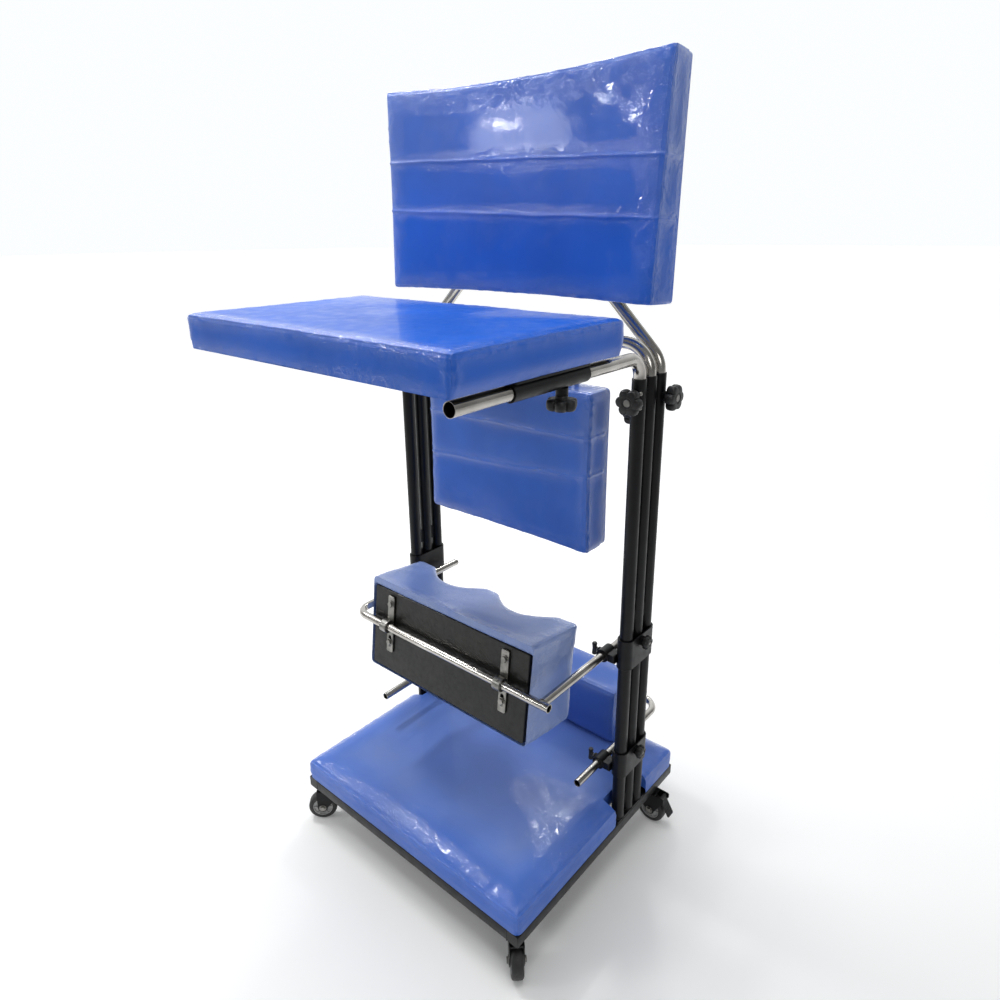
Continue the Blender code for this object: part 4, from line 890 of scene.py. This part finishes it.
def wing_knob(node, turn):
    """A short T-handle with swollen ends on a thin screw."""
    body, seat = joints[turn]["child"], seat_of(turn)
    wing = [(0.0020, -0.0130), (0.0042, -0.0126), (0.0052, -0.0105), (0.0047, -0.0070)]
    bm = bmesh.new()
    lathe(bm, [*wing, (0.0042, 0.0), *flipped(wing)], seat @ moved(0, 0, 0.0095) @ spun("X", 90), 28)
    lathe(bm, [(0.0040, 0.0035), (0.0046, 0.0042), (0.0046, 0.0080), (0.0038, 0.0090)], seat, 24)
    piece(node + "_handle", bm, PLASTIC, body, node, angle=50)
    bm = bmesh.new()
    lathe(bm, [(0.0026, -0.0080), (0.0030, -0.0074), (0.0030, 0.0050)], seat, 20)
    piece(node + "_screw", bm, ZINC, body)


# Tray sleeves

def tray_sleeves():
    """Sleeves on the tray arms, each with a flange that is screwed to the tray board."""
    low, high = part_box("tray_sleeve_right")
    start, end = low.y, high.y
    flange_width, flange_corner, flange_lap, flange_rise = 0.038, 0.004, 0.001, 0.0027
    flange_shift, screw_shift, weld_shift, weld_margin = 0.0058, 0.0188, 0.0068, 0.006
    weld_drop, boss_depth = 0.0016, 0.0110
    for label, side in SIDES:
        x = side * COLUMN_X
        bm = bmesh.new()
        pipe(bm, [(x, start, ARM_Z), (x, end, ARM_Z)], SLEEVE_RADIUS, SLEEVE_RADIUS - SLEEVE_BORE, 40)
        slab(bm, flange_width, end - start, flange_corner, SLEEVE_RADIUS - flange_lap,
             SLEEVE_RADIUS + flange_rise, PLATE_CHAMFER,
             moved(x - side * flange_shift, (start + end) / 2, ARM_Z))
        boss(bm, "tray_knob_turn_" + label, BOSS_RADIUS, BOSS_BORE, boss_depth)
        beads = bmesh.new()
        z = ARM_Z + SLEEVE_RADIUS - weld_drop
        for edge in BOTH:
            along = x + edge * weld_shift
            bead(beads, [(along, start + weld_margin, z), (along, end - weld_margin, z)], SLEEVE_WELD)
        piece("tray_sleeve_body_" + label, bm, PAINT, "tray_top", "tray_sleeve_" + label)
        piece("tray_sleeve_welds_" + label, beads, PAINT, "tray_top")
        bm = bmesh.new()
        for share in (0.12, 0.50, 0.88):
            spot = (x - side * screw_shift, start + (end - start) * share, ARM_Z + SLEEVE_RADIUS - flange_lap)
            dome_screw(bm, aimed(spot, -Z), *SCREW)
        piece("tray_screws_" + label, bm, ZINC, "tray_top")


# Slotted straps and their bolts

def strap(name, node, body, axis, size, slot, ring_size, plane, facing, heights):
    """A slotted strip with a ring for a bar and the bolts that hold it to a board.

    axis places the bar, size is (width, low, high, thickness), slot is (low, high), ring_size
    is (outer radius, bore), plane is the strip's middle away from the bar along Y, and facing
    and heights are the side that the bolts face and where they stand.
    """
    width, low, high, thick = size
    outer, bore = ring_size
    bm = bmesh.new()
    corner, slot_width, slot_corner, ring_gap = 0.003, 0.008, 0.0039, 0.0003
    strip = (width, high - low, corner, (low + high) / 2)
    hole = (slot_width, slot[1] - slot[0], slot_corner, sum(slot) / 2)
    framed(bm, strip, hole, -thick / 2, thick / 2, SHEET_CHAMFER, axis @ moved(0, plane, 0) @ spun("X", 90))
    clamp_ring(bm, outer, bore, width / 2 - ring_gap, PLATE_CHAMFER, axis @ spun("Y", 90))
    piece(name, bm, ZINC, body, node)
    bm = bmesh.new()
    for height in heights:
        spot = axis @ Vector((0, plane + facing * thick / 2, height))
        hex_head(bm, aimed(spot, axis.to_3x3() @ Vector((0, facing, 0))), *STRAP_HEAD)
    piece(name + "_bolts", bm, ZINC, body)


def straps():
    wide = (0.0162, 0.0117)
    plane = 0.0145
    kinds = (("hip", 0.120, 0, (0.026, -0.330, 0.0, 0.004), (-0.318, -0.0282), wide, plane,
              1, (-0.130, -0.290)),
             ("back", 0.105, BACK_LEAN, (0.026, -0.022, 0.260, 0.004), (0.0282, 0.248), wide, -plane,
              1, (0.060, 0.210)),
             ("knee", 0.155, KNEE_LEAN, (0.018, -0.0625, 0.0625, 0.003), (-0.0505, -0.0251),
              (BAR_CLAMP, BAR_BORE), 0.0119, -1, (-0.040, 0.045)))
    for label, side in SIDES:
        for block, x, lean, *rest in kinds:
            axis = moved(side * x, 0, 0) @ tilted(block + "_tilt", lean)
            strap(f"{block}_strip_{label}", f"{block}_strap_{label}", block + "_support", axis, *rest)


# Collars on the columns

def collars():
    for block, z, rise, height in (("knee", KNEE_BAR_Z, 0.014, 0.062), ("heel", HEEL_BAR_Z, 0.012, 0.056)):
        for label, side in SIDES:
            collar(block, label, side, z, z + rise, height)


def collar(block, label, side, bar_z, middle, height):
    """A collar round the three tubes of a column, with a clamp for a bar and two knob bosses."""
    body = block + "_carriage"
    outer = COLLAR_BORE + COLLAR_WALL
    half = CLAMP_LENGTH / 2
    bm = bmesh.new()
    framed(bm, (2 * outer, 2 * (TUBE_PITCH + outer), outer, 0),
           (2 * COLLAR_BORE, 2 * (TUBE_PITCH + COLLAR_BORE), COLLAR_BORE, 0),
           middle - height / 2, middle + height / 2, CHAMFER, moved(side * COLUMN_X, COLUMN_Y, 0), 12)
    clamp_ring(bm, BAR_CLAMP, BAR_BORE, half, CHAMFER, aimed((side * BAR_X, CLAMP_Y, bar_z), Y))
    near, far = BAR_X + 0.0105, COLUMN_X - COLLAR_BORE - 0.001
    arm_half, arm_margin, arm_corner = 0.008, 0.004, 0.002
    slab(bm, far - near, CLAMP_LENGTH - arm_margin, arm_corner, bar_z - arm_half, bar_z + arm_half, CHAMFER,
         moved(side * (near + far) / 2, CLAMP_Y, 0))
    boss(bm, f"{block}_knob_turn_{label}", BOSS_RADIUS, COLLAR_BOSS_BORE, COLLAR_BOSS_DEPTH)
    boss(bm, f"{block}_wing_turn_{label}", WING_BOSS_RADIUS, COLLAR_BOSS_BORE, WING_BOSS_DEPTH)
    piece(f"{block}_collar_body_{label}", bm, PAINT, body, f"{block}_collar_{label}")
    beads = bmesh.new()
    weld_rise, weld_margin = 0.0078, 0.003
    front, rear = CLAMP_Y - half + weld_margin, CLAMP_Y + half - weld_margin
    for edge in BOTH:
        z = bar_z + edge * weld_rise
        bead(beads, [(side * far, front, z), (side * far, rear, z)], COLLAR_WELD)
    piece(f"{block}_collar_welds_{label}", beads, PAINT, body)


# Pads

def cuts(length, edge, cell, extra=()):
    """Grid lines across a pad: close together in its round edges, even between them."""
    half = length / 2
    inner = half - edge
    near = [half - edge * share for share in (0.0, 0.22, 0.50, 0.76)]
    count = max(2, round(2 * inner / cell))
    lines = [-inner + 2 * inner * i / count for i in range(count + 1)]
    lines += [sign * place for place in near for sign in BOTH]
    kept = [place for place in lines if all(abs(place - other) > cell * 0.2 for other in extra)]
    return sorted([*kept, *extra])


def rounded_box(point, half_w, half_l, height, edge):
    """A point of a plain block moved onto the same block with a round upper edge and corners."""
    core = Vector((max(-half_w + edge, min(half_w - edge, point.x)),
                   max(-half_l + edge, min(half_l - edge, point.y)),
                   min(height - edge, point.z)))
    out = point - core
    if out.length < 1e-9:
        return point
    return core + out * (edge / out.length)


def pad_block(size, edge, cell, pocket, rim, extra, kept):
    """A padded block on z = 0 whose underside has a pocket for its board.

    extra holds more grid lines along X and along Y. kept(x, y) is false where the block is
    cut away from top to bottom.
    """
    width, length, height = size
    half_w, half_l = width / 2, length / 2
    rim_x, rim_low, rim_high = half_w - rim[0], rim[1] - half_l, half_l - rim[2]
    xs = cuts(width, edge, cell, (-rim_x, rim_x, *extra[0]))
    ys = cuts(length, edge, cell, (rim_low, rim_high, *extra[1]))
    zs = [z + height / 2 for z in cuts(height, edge, cell) if z > -height / 2 + max(edge, pocket) + 0.002]
    zs = [0.0, pocket, *zs]
    bm = bmesh.new()
    made = {}

    def vert(i, j, k):
        if (i, j, k) not in made:
            point = Vector((xs[i], ys[j], zs[k]))
            made[i, j, k] = bm.verts.new(rounded_box(point, half_w, half_l, height, edge))
        return made[i, j, k]

    def cell_at(i, j):
        """Lowest level of a cell, or None outside the block."""
        if not (0 <= i < len(xs) - 1 and 0 <= j < len(ys) - 1):
            return None
        x, y = (xs[i] + xs[i + 1]) / 2, (ys[j] + ys[j + 1]) / 2
        if not kept(x, y):
            return None
        return 1 if abs(x) < rim_x and rim_low < y < rim_high else 0

    top = len(zs) - 1
    for i in range(len(xs) - 1):
        for j in range(len(ys) - 1):
            floor = cell_at(i, j)
            if floor is None:
                continue
            corners = ((i, j), (i + 1, j), (i + 1, j + 1), (i, j + 1))
            for level in (floor, top):
                bm.faces.new([vert(a, b, level) for a, b in corners])
            around = ((i, j - 1), (i + 1, j), (i, j + 1), (i - 1, j))
            for side, beyond in enumerate(around):
                near, far = corners[side], corners[(side + 1) % 4]
                other = cell_at(*beyond)
                roof = top if other is None else other
                for low in range(floor, roof):
                    high = low + 1
                    bm.faces.new((vert(*near, low), vert(*far, low), vert(*far, high), vert(*near, high)))
    bmesh.ops.recalc_face_normals(bm, faces=bm.faces)
    return bm


def stuffed(obj, held, pressure, cap):
    """Swell a pad by cloth simulation and keep each point within cap of where it started."""
    start = [vert.co.copy() for vert in obj.data.vertices]
    group = obj.vertex_groups.new(name="held")
    group.add(held, 1.0, "REPLACE")
    cloth = obj.modifiers.new("stuffing", "CLOTH")
    settings = cloth.settings
    settings.use_pressure = True
    settings.uniform_pressure_force = pressure
    settings.vertex_group_mass = group.name
    settings.effector_weights.gravity = 0.0
    settings.tension_stiffness = settings.compression_stiffness = 40.0
    settings.shear_stiffness = 20.0
    settings.bending_stiffness = 2.0
    cloth.collision_settings.use_collision = False
    for number in range(1, 21):
        scene.frame_set(number)
    graph = bpy.context.evaluated_depsgraph_get()
    swelled = [vert.co.copy() for vert in obj.evaluated_get(graph).data.vertices]
    obj.modifiers.remove(cloth)
    obj.vertex_groups.clear()
    for vert, before, after in zip(obj.data.vertices, start, swelled):
        move = after - before
        if move.length > cap:
            move *= cap / move.length
        vert.co = before + move
    scene.frame_set(1)


def subdivided(obj):
    step = obj.modifiers.new("finer", "SUBSURF")
    step.levels = step.render_levels = 1
    bpy.context.view_layer.update()
    graph = bpy.context.evaluated_depsgraph_get()
    mesh = bpy.data.meshes.new_from_object(obj.evaluated_get(graph))
    obj.modifiers.clear()
    old = obj.data
    obj.data = mesh
    bpy.data.meshes.remove(old)


def crest(value, sharpness):
    """A noise value between -1 and 1 turned into narrow crests between 0 and 1."""
    return (1 - abs(value)) ** sharpness


def bell(away, reach):
    return math.exp(-(away / reach) ** 2)


def everywhere(x, y):
    return True


@dataclass
class Pad:
    """One padded block: its size, where it stands and how its cover and clear wrapping lie.

    draw is how far the sides, the upper end and the lower end are drawn in between the
    corners, taper widens the two ends, aside shifts the cover, slope is (drop, reach) of the
    face at its edges, and tuck is how far the lower side edges turn in. hems are (place along
    Y, slope) of the edges of the wrapping's layers, creased is how far in from the edges it is
    creased, calm keeps its face smooth, spots are (x, y, reach) of crumpled places, ripple is
    (height, pitch) of its waves along the front edge, glare_and_haze is how far painted glare
    of the wrapping pales its blue, bare is how much less of that glare and of the crinkling
    shows on the sides, which paints them darker than the top, and fade is how far in from the
    sides the painted glare thins out, a painted shade along them.
    """
    name: str
    node: str
    body: str
    placed: Matrix
    size: tuple
    edge: float = 0.008
    crown: float = 0.005
    rise: object = None
    rim: tuple = (PAD_RIM, PAD_RIM, PAD_RIM)
    extra: tuple = ((), ())
    kept: object = everywhere
    cap: float = 0.005
    fill: float = 0.9
    draw: tuple = (0.003, 0.003, 0.003)
    taper: tuple = (0.0, 0.0)
    aside: float = 0.0
    slope: tuple = (0.002, 0.030)
    tuck: float = 0.0
    seed: float = 1.0
    hems: tuple = ()
    creased: float = 0.026
    calm: float = 0.1
    spots: tuple = ()
    ripple: tuple = (0.0, 1.0)
    glare_and_haze: float = 0.0
    bare: float = 0.0
    fade: float = 0.0

    CELL = 0.010
    PRESSURE = 4.0
    WELT = 0.0013
    WELT_REACH = 0.0016
    HEM = 0.0014
    HEM_REACH = 0.0026
    HEM_WAVE = 0.0022
    HEM_BEND = 0.040
    HEM_CREASE = 0.012
    HEM_LINES = (-0.006, -0.003, 0.0, 0.003, 0.006)
    LAYER = 0.05
    FOLD = 0.0011
    SWELL = 0.0006
    TUCK_REACH = 0.022
    RIPPLE_REACH = 0.015

    def shaped(self, point):
        """Crown the face, draw the sides in between the corners and slope the lines of the hems."""
        width, length, height = self.size
        u, v, up = 2 * point.x / width, 2 * point.y / length, point.z / height
        sides, top, bottom = self.draw
        pull = 0.35 + 0.65 * up
        x = point.x - sides * pull * max(0.0, 1 - v * v) * u ** 3
        x += self.aside + up * u * (self.taper[0] * (1 + v) + self.taper[1] * (1 - v)) / 2
        x -= self.tuck * math.copysign(abs(u) ** 40, u) * max(0.0, 1 - point.z / self.TUCK_REACH) ** 2
        ends = top if v > 0 else bottom
        y = point.y - ends * pull * max(0.0, 1 - u * u) * v ** 3
        for place, slope in self.hems:
            y += slope * point.x * bell(point.y - place, self.HEM_BEND)
        lift = self.rise(point.x) if self.rise else self.crown * max(0.0, 1 - u * u) * max(0.0, 1 - v * v)
        drop, reach = self.slope
        lift -= drop * max(0.0, 1 - self.inside(point) / reach) ** 2
        return Vector((x, y, point.z + lift * up))

    def inside(self, rest):
        """How far a point lies in from the nearest side."""
        return min(self.size[0] / 2 - abs(rest.x), self.size[1] / 2 - abs(rest.y))

    def welt(self, rest):
        """Height of the sewn seam that runs along the edges of the cover."""
        width, length, height = self.size
        beyond = sorted((abs(rest.x) - width / 2 + self.edge, abs(rest.y) - length / 2 + self.edge,
                         rest.z - height + self.edge), reverse=True)
        if beyond[1] <= 0:
            return 0.0
        turn = math.atan2(beyond[1], beyond[0]) - math.radians(45)
        return self.WELT * bell(turn * self.edge, self.WELT_REACH)

    def margin(self, rest):
        """1 along the edges of the block, falling to 0 well inside its faces."""
        width, length, height = self.size
        gaps = sorted((width / 2 - abs(rest.x), length / 2 - abs(rest.y), min(rest.z, height - rest.z)))
        return max(0.0, 1 - max(0.0, gaps[1] - self.edge * 0.5) / self.creased)

    def film(self, rest, margin):
        """How far painted glare of the wrapping pales the colour at a point, and how much it is crinkled
        there.
        """
        near_hem = max([bell(rest.y - place, self.HEM_CREASE) for place, _ in self.hems], default=0.0)
        patch = max(0.0, noise.noise(rest * 7 + Vector((self.seed, 5, 0))) - self.calm)
        spot = max([bell(math.hypot(rest.x - x, rest.y - y), reach) for x, y, reach in self.spots],
                   default=0.0)
        crinkle = min(1.0, 0.02 + margin ** 1.5 + 0.7 * near_hem + 0.9 * patch + spot)
        # Painted shade: bare takes the painted glare off the sides below the top and, within fade of the
        # sides, off a band along them, so these are painted darker. Each layer of wrapping over a hem pales
        # it a little more.
        below = max(0.0, min(1.0, (self.size[2] - rest.z) / self.edge))
        thin = max(below, 1 - self.inside(rest) / self.fade) if self.fade else below
        layers = sum(self.LAYER for place, _ in self.hems if rest.y > place)
        return self.glare_and_haze * (1 - self.bare * thin) + layers, (1 - self.bare * below) * crinkle

    def relief(self, rest, margin):
        """Height of the seams, creases, waves and hems over the plain cover."""
        push = self.welt(rest)
        folds = Vector((rest.x * 24, rest.y * 24, rest.z * 34 + self.seed))
        push += self.FOLD * margin ** 2 * crest(noise.noise(folds), 5)
        push += self.SWELL * noise.noise(rest * 8 + Vector((0, self.seed, 0)))
        height, pitch = self.ripple
        wave = noise.noise(Vector((rest.x / pitch, self.seed, 0)))
        edge_gap = rest.y + self.size[1] / 2 - self.RIPPLE_REACH
        push += height * wave * bell(edge_gap, self.RIPPLE_REACH)
        for place, _ in self.hems:
            wave = self.HEM_WAVE * noise.noise(Vector((rest.x * 14, place * 50, self.seed)))
            push += self.HEM * bell(rest.y - place - wave, self.HEM_REACH)
        return push

    def wrapped(self, mesh):
        """Work the relief into the surface and store the layers that the finish reads."""
        rests = [Vector(item.vector) for item in mesh.attributes["rest"].data]
        normals = [vert.normal.copy() for vert in mesh.vertices]
        films = []
        for vert, rest, normal in zip(mesh.vertices, rests, normals):
            margin = self.margin(rest)
            films.append(self.film(rest, margin))
            if rest.z >= BOARD_THICK + 0.001:
                vert.co += normal * self.relief(rest, margin)
        for name, values in zip(("painted_glare", "crinkle"), zip(*films)):
            mesh.attributes.new(name, "FLOAT", "POINT").data.foreach_set("value", values)
        mesh.attributes.remove(mesh.attributes["rest"])

    def make(self):
        lines_y = [place + step for place, _ in self.hems for step in self.HEM_LINES]
        extra = (self.extra[0], (*self.extra[1], *lines_y))
        bm = pad_block(self.size, self.edge, self.CELL, BOARD_THICK, self.rim, extra, self.kept)
        rests = [vert.co.copy() for vert in bm.verts]
        for vert in bm.verts:
            vert.co = self.shaped(vert.co)
        obj = piece(self.name, bm, VINYL, self.body, self.node, angle=180.0)
        layer = obj.data.attributes.new("rest", "FLOAT_VECTOR", "POINT")
        layer.data.foreach_set("vector", [number for rest in rests for number in rest])
        held = [index for index, rest in enumerate(rests) if rest.z < BOARD_THICK + 0.0005]
        stuffed(obj, held, self.PRESSURE, self.cap)
        subdivided(obj)
        self.wrapped(obj.data)
        obj.data.transform(self.placed)
        obj.data.shade_smooth()


def knee_front():
    """The placing of the knee block, whose front lies on z = 0."""
    return tilted("knee_tilt", KNEE_LEAN) @ moved(*KNEE_FRONT) @ spun("X", -90)


def knee_rise(x):
    """Two hollows for the knees in the rear face."""
    middle, reach, depth = 0.092, 0.075, 0.044
    across = min(1.0, abs(abs(x) - middle) / reach)
    return -depth * (1 - across ** 2)


def pads():
    front = spun("X", 90)
    # The glare amounts pale each pad's blue with painted glare of its wrapping. On the footpad, bare and fade
    # paint its sides and a band along its edges darker.
    Pad("back_cushion", "back_pad", "back_support",
        tilted("back_tilt", BACK_LEAN) @ moved(0, -0.0168, 0.151) @ front, (0.622, 0.374, 0.063),
        edge=0.007, crown=0.003, draw=(0.002, 0.013, 0.006), taper=(0.006, -0.006), aside=0.0035,
        seed=3.0, hems=((0.047, -0.031), (-0.045, -0.031)), creased=0.055, calm=0.50).make()
    Pad("hip_cushion", "hip_pad", "hip_support",
        tilted("hip_tilt", 0) @ moved(0, 0.0122, -0.2415) @ front, (0.410, 0.309, 0.066),
        edge=0.010, crown=0.004, seed=7.0, hems=((0.069, 0.016), (-0.015, 0.065)), glare_and_haze=0.02).make()
    Pad("tray_cushion", "tray_pad", "tray_top", moved(0, -0.1605, 1.0886), (0.622, 0.380, 0.059),
        edge=0.011, crown=0.003, tuck=0.007, seed=11.0, ripple=(0.0006, 0.030), bare=0.3).make()
    Pad("knee_cushion", "knee_pad", "knee_support", knee_front(), KNEE_SIZE,
        edge=0.009, rise=knee_rise, rim=KNEE_RIM, cap=0.004, seed=17.0, calm=-0.40, glare_and_haze=0.40).make()
    Pad("heel_cushion", "heel_pad", "heel_slider", moved(0, 0.3337, 0.2332) @ front, (0.398, 0.135, 0.098),
        edge=0.012, crown=0.004, seed=23.0, glare_and_haze=0.16).make()
    notch_x, notch_y = 0.2686, (0.0403, 0.1597)
    Pad("foot_cushion", "footpad", "base", moved(0, 0.050, FRAME_TOP), (0.604, 0.550, 0.050),
        edge=0.012, crown=0.004, rim=(0.008, 0.008, 0.008), extra=((-notch_x, notch_x), notch_y),
        kept=lambda x, y: abs(x) < notch_x or not notch_y[0] < y < notch_y[1],
        fill=0.8, draw=(0.001, 0.001, 0.001), slope=(0.012, 0.050), seed=29.0, creased=0.040, calm=-0.05,
        spots=((0.240, -0.085, 0.022),), ripple=(0.0008, 0.020), glare_and_haze=0.28, bare=0.70, fade=0.080).make()


def knee_board():
    """A black board let into the front of the knee block."""
    width, length, _ = KNEE_SIZE
    side, above, below = KNEE_RIM
    gap, corner, chamfer = 0.0005, 0.003, 0.0010
    bm = bmesh.new()
    slab(bm, width - 2 * gap - 2 * side, length - 2 * gap - above - below, corner, gap, BOARD_THICK, chamfer,
         knee_front() @ moved(0, (above - below) / 2, 0))
    piece("knee_panel", bm, BOARD, "knee_support", "knee_board")


# Stage, light and camera

def stage():
    """A pale floor, painted darker in front as shade and glowing by its own emission behind the object as
    painted light, so that it has no far edge.
    """
    bm = bmesh.new()
    bmesh.ops.create_circle(bm, cap_ends=True, radius=40.0, segments=96)
    mesh = bpy.data.meshes.new("floor")
    bm.to_mesh(mesh)
    bm.free()
    look = Look("pale_floor", {"Roughness": 0.8, "Specular IOR Level": 0.1, "Emission Color": (1, 1, 1, 1)})
    back = look.rearward(look.place)
    # Painted shade: the floor's colour darkens towards the front. Painted light: its emission rises towards
    # the rear.
    pale = look.spread(back, -2.2, -0.9, 0.0, 1.0)
    look.drive("Base Color", look.blend(pale, (0.52, 0.52, 0.52), (0.92, 0.92, 0.92)))
    look.drive("Emission Strength", look.spread(back, -0.6, 4.0, 0.0, 0.62))
    mesh.materials.append(look.material)
    floor = bpy.data.objects.new("floor", mesh)
    scene.collection.objects.link(floor)


def lamp(name, place, target, size, power):
    data = bpy.data.lights.new(name, "AREA")
    data.shape = "ELLIPSE"
    data.size, data.size_y = size
    data.energy = power
    obj = bpy.data.objects.new(name, data)
    obj.location = place
    obj.rotation_euler = (Vector(target) - Vector(place)).to_track_quat("-Z", "Y").to_euler()
    scene.collection.objects.link(obj)


def studio_world():
    """A room that is white behind the object and dim in front of it."""
    scene.world = bpy.data.worlds.new("studio")
    room = Nodes(scene.world)
    toward = room.rearward(room.add("ShaderNodeTexCoord").outputs["Generated"])
    level = room.spread(toward, 0.10, 0.72, 0.22, 1.0, interpolation_type="SMOOTHSTEP")
    background = room.tree.nodes["Background"]
    room.feed(background.inputs["Color"], (0.97, 0.99, 1.0, 1.0))
    room.feed(background.inputs["Strength"], level)


def lights():
    """Panels whose reflections show on the pads, and a soft ceiling. Sizes in metres, powers in watts."""
    back_pad, foot_pad = (0, 0.11, 1.42), (0.25, 0, 0.16)
    lamp("wall_panel", (-2.487, -2.943, 2.21), back_pad, (0.76, 0.54), 19)
    lamp("wall_lamp", (-2.595, -2.85, 2.30), back_pad, (0.17, 0.07), 3.2)
    for place in ((-1.92, -3.17, 2.42), (-1.67, -3.27, 2.28), (-1.82, -3.27, 2.04)):
        lamp("spot", place, (0.2, 0.11, 1.42), (0.12, 0.07), 2.6)
    lamp("ceiling", (0.2, -0.2, 4.5), (0, 0.1, 0), (3.0, 3.0), 80)
    lamp("ceiling_lamp", (-0.95, 1.74, 2.45), foot_pad, (0.29, 0.23), 7)
    lamp("side_lamp", (-1.39, -0.06, 2.7), (0.1, -0.2, 0.16), (0.60, 0.20), 22)
    lamp("edge_panel", (-2.6, -0.75, 2.85), (0, -0.3, 1.1), (0.9, 0.6), 14)
    lamp("right_panel", (2.6, -1.1, 2.2), (0, 0, 0.9), (1.2, 1.2), 12)


def camera():
    """The photograph's camera: its angles in radians, its focal length in picture widths."""
    yaw, pitch, roll = 0.7082, -0.322, -0.0094
    place = (0.8903, -0.9342, 1.2876)
    focal = 0.7215
    data = bpy.data.cameras.new("photo")
    data.sensor_width = 36.0
    data.lens = data.sensor_width * focal
    data.shift_x, data.shift_y = -0.0048, -0.0381
    obj = bpy.data.objects.new("photo", data)
    ahead = Vector((-math.sin(yaw) * math.cos(pitch), math.cos(yaw) * math.cos(pitch), math.sin(pitch)))
    turn = ahead.to_track_quat("-Z", "Y").to_matrix().to_4x4() @ Matrix.Rotation(roll, 4, "Z")
    obj.matrix_world = Matrix.Translation(place) @ turn
    scene.collection.objects.link(obj)
    scene.camera = obj


scene.view_settings.view_transform = "Standard"
camera()
stage()
studio_world()
lights()
dress_boards()
tray_arms()
hip_bar()
back_bar()
knee_bar()
heel_bar()
columns()
base_frame()
casters()
knobs()
tray_sleeves()
straps()
collars()
pads()
knee_board()
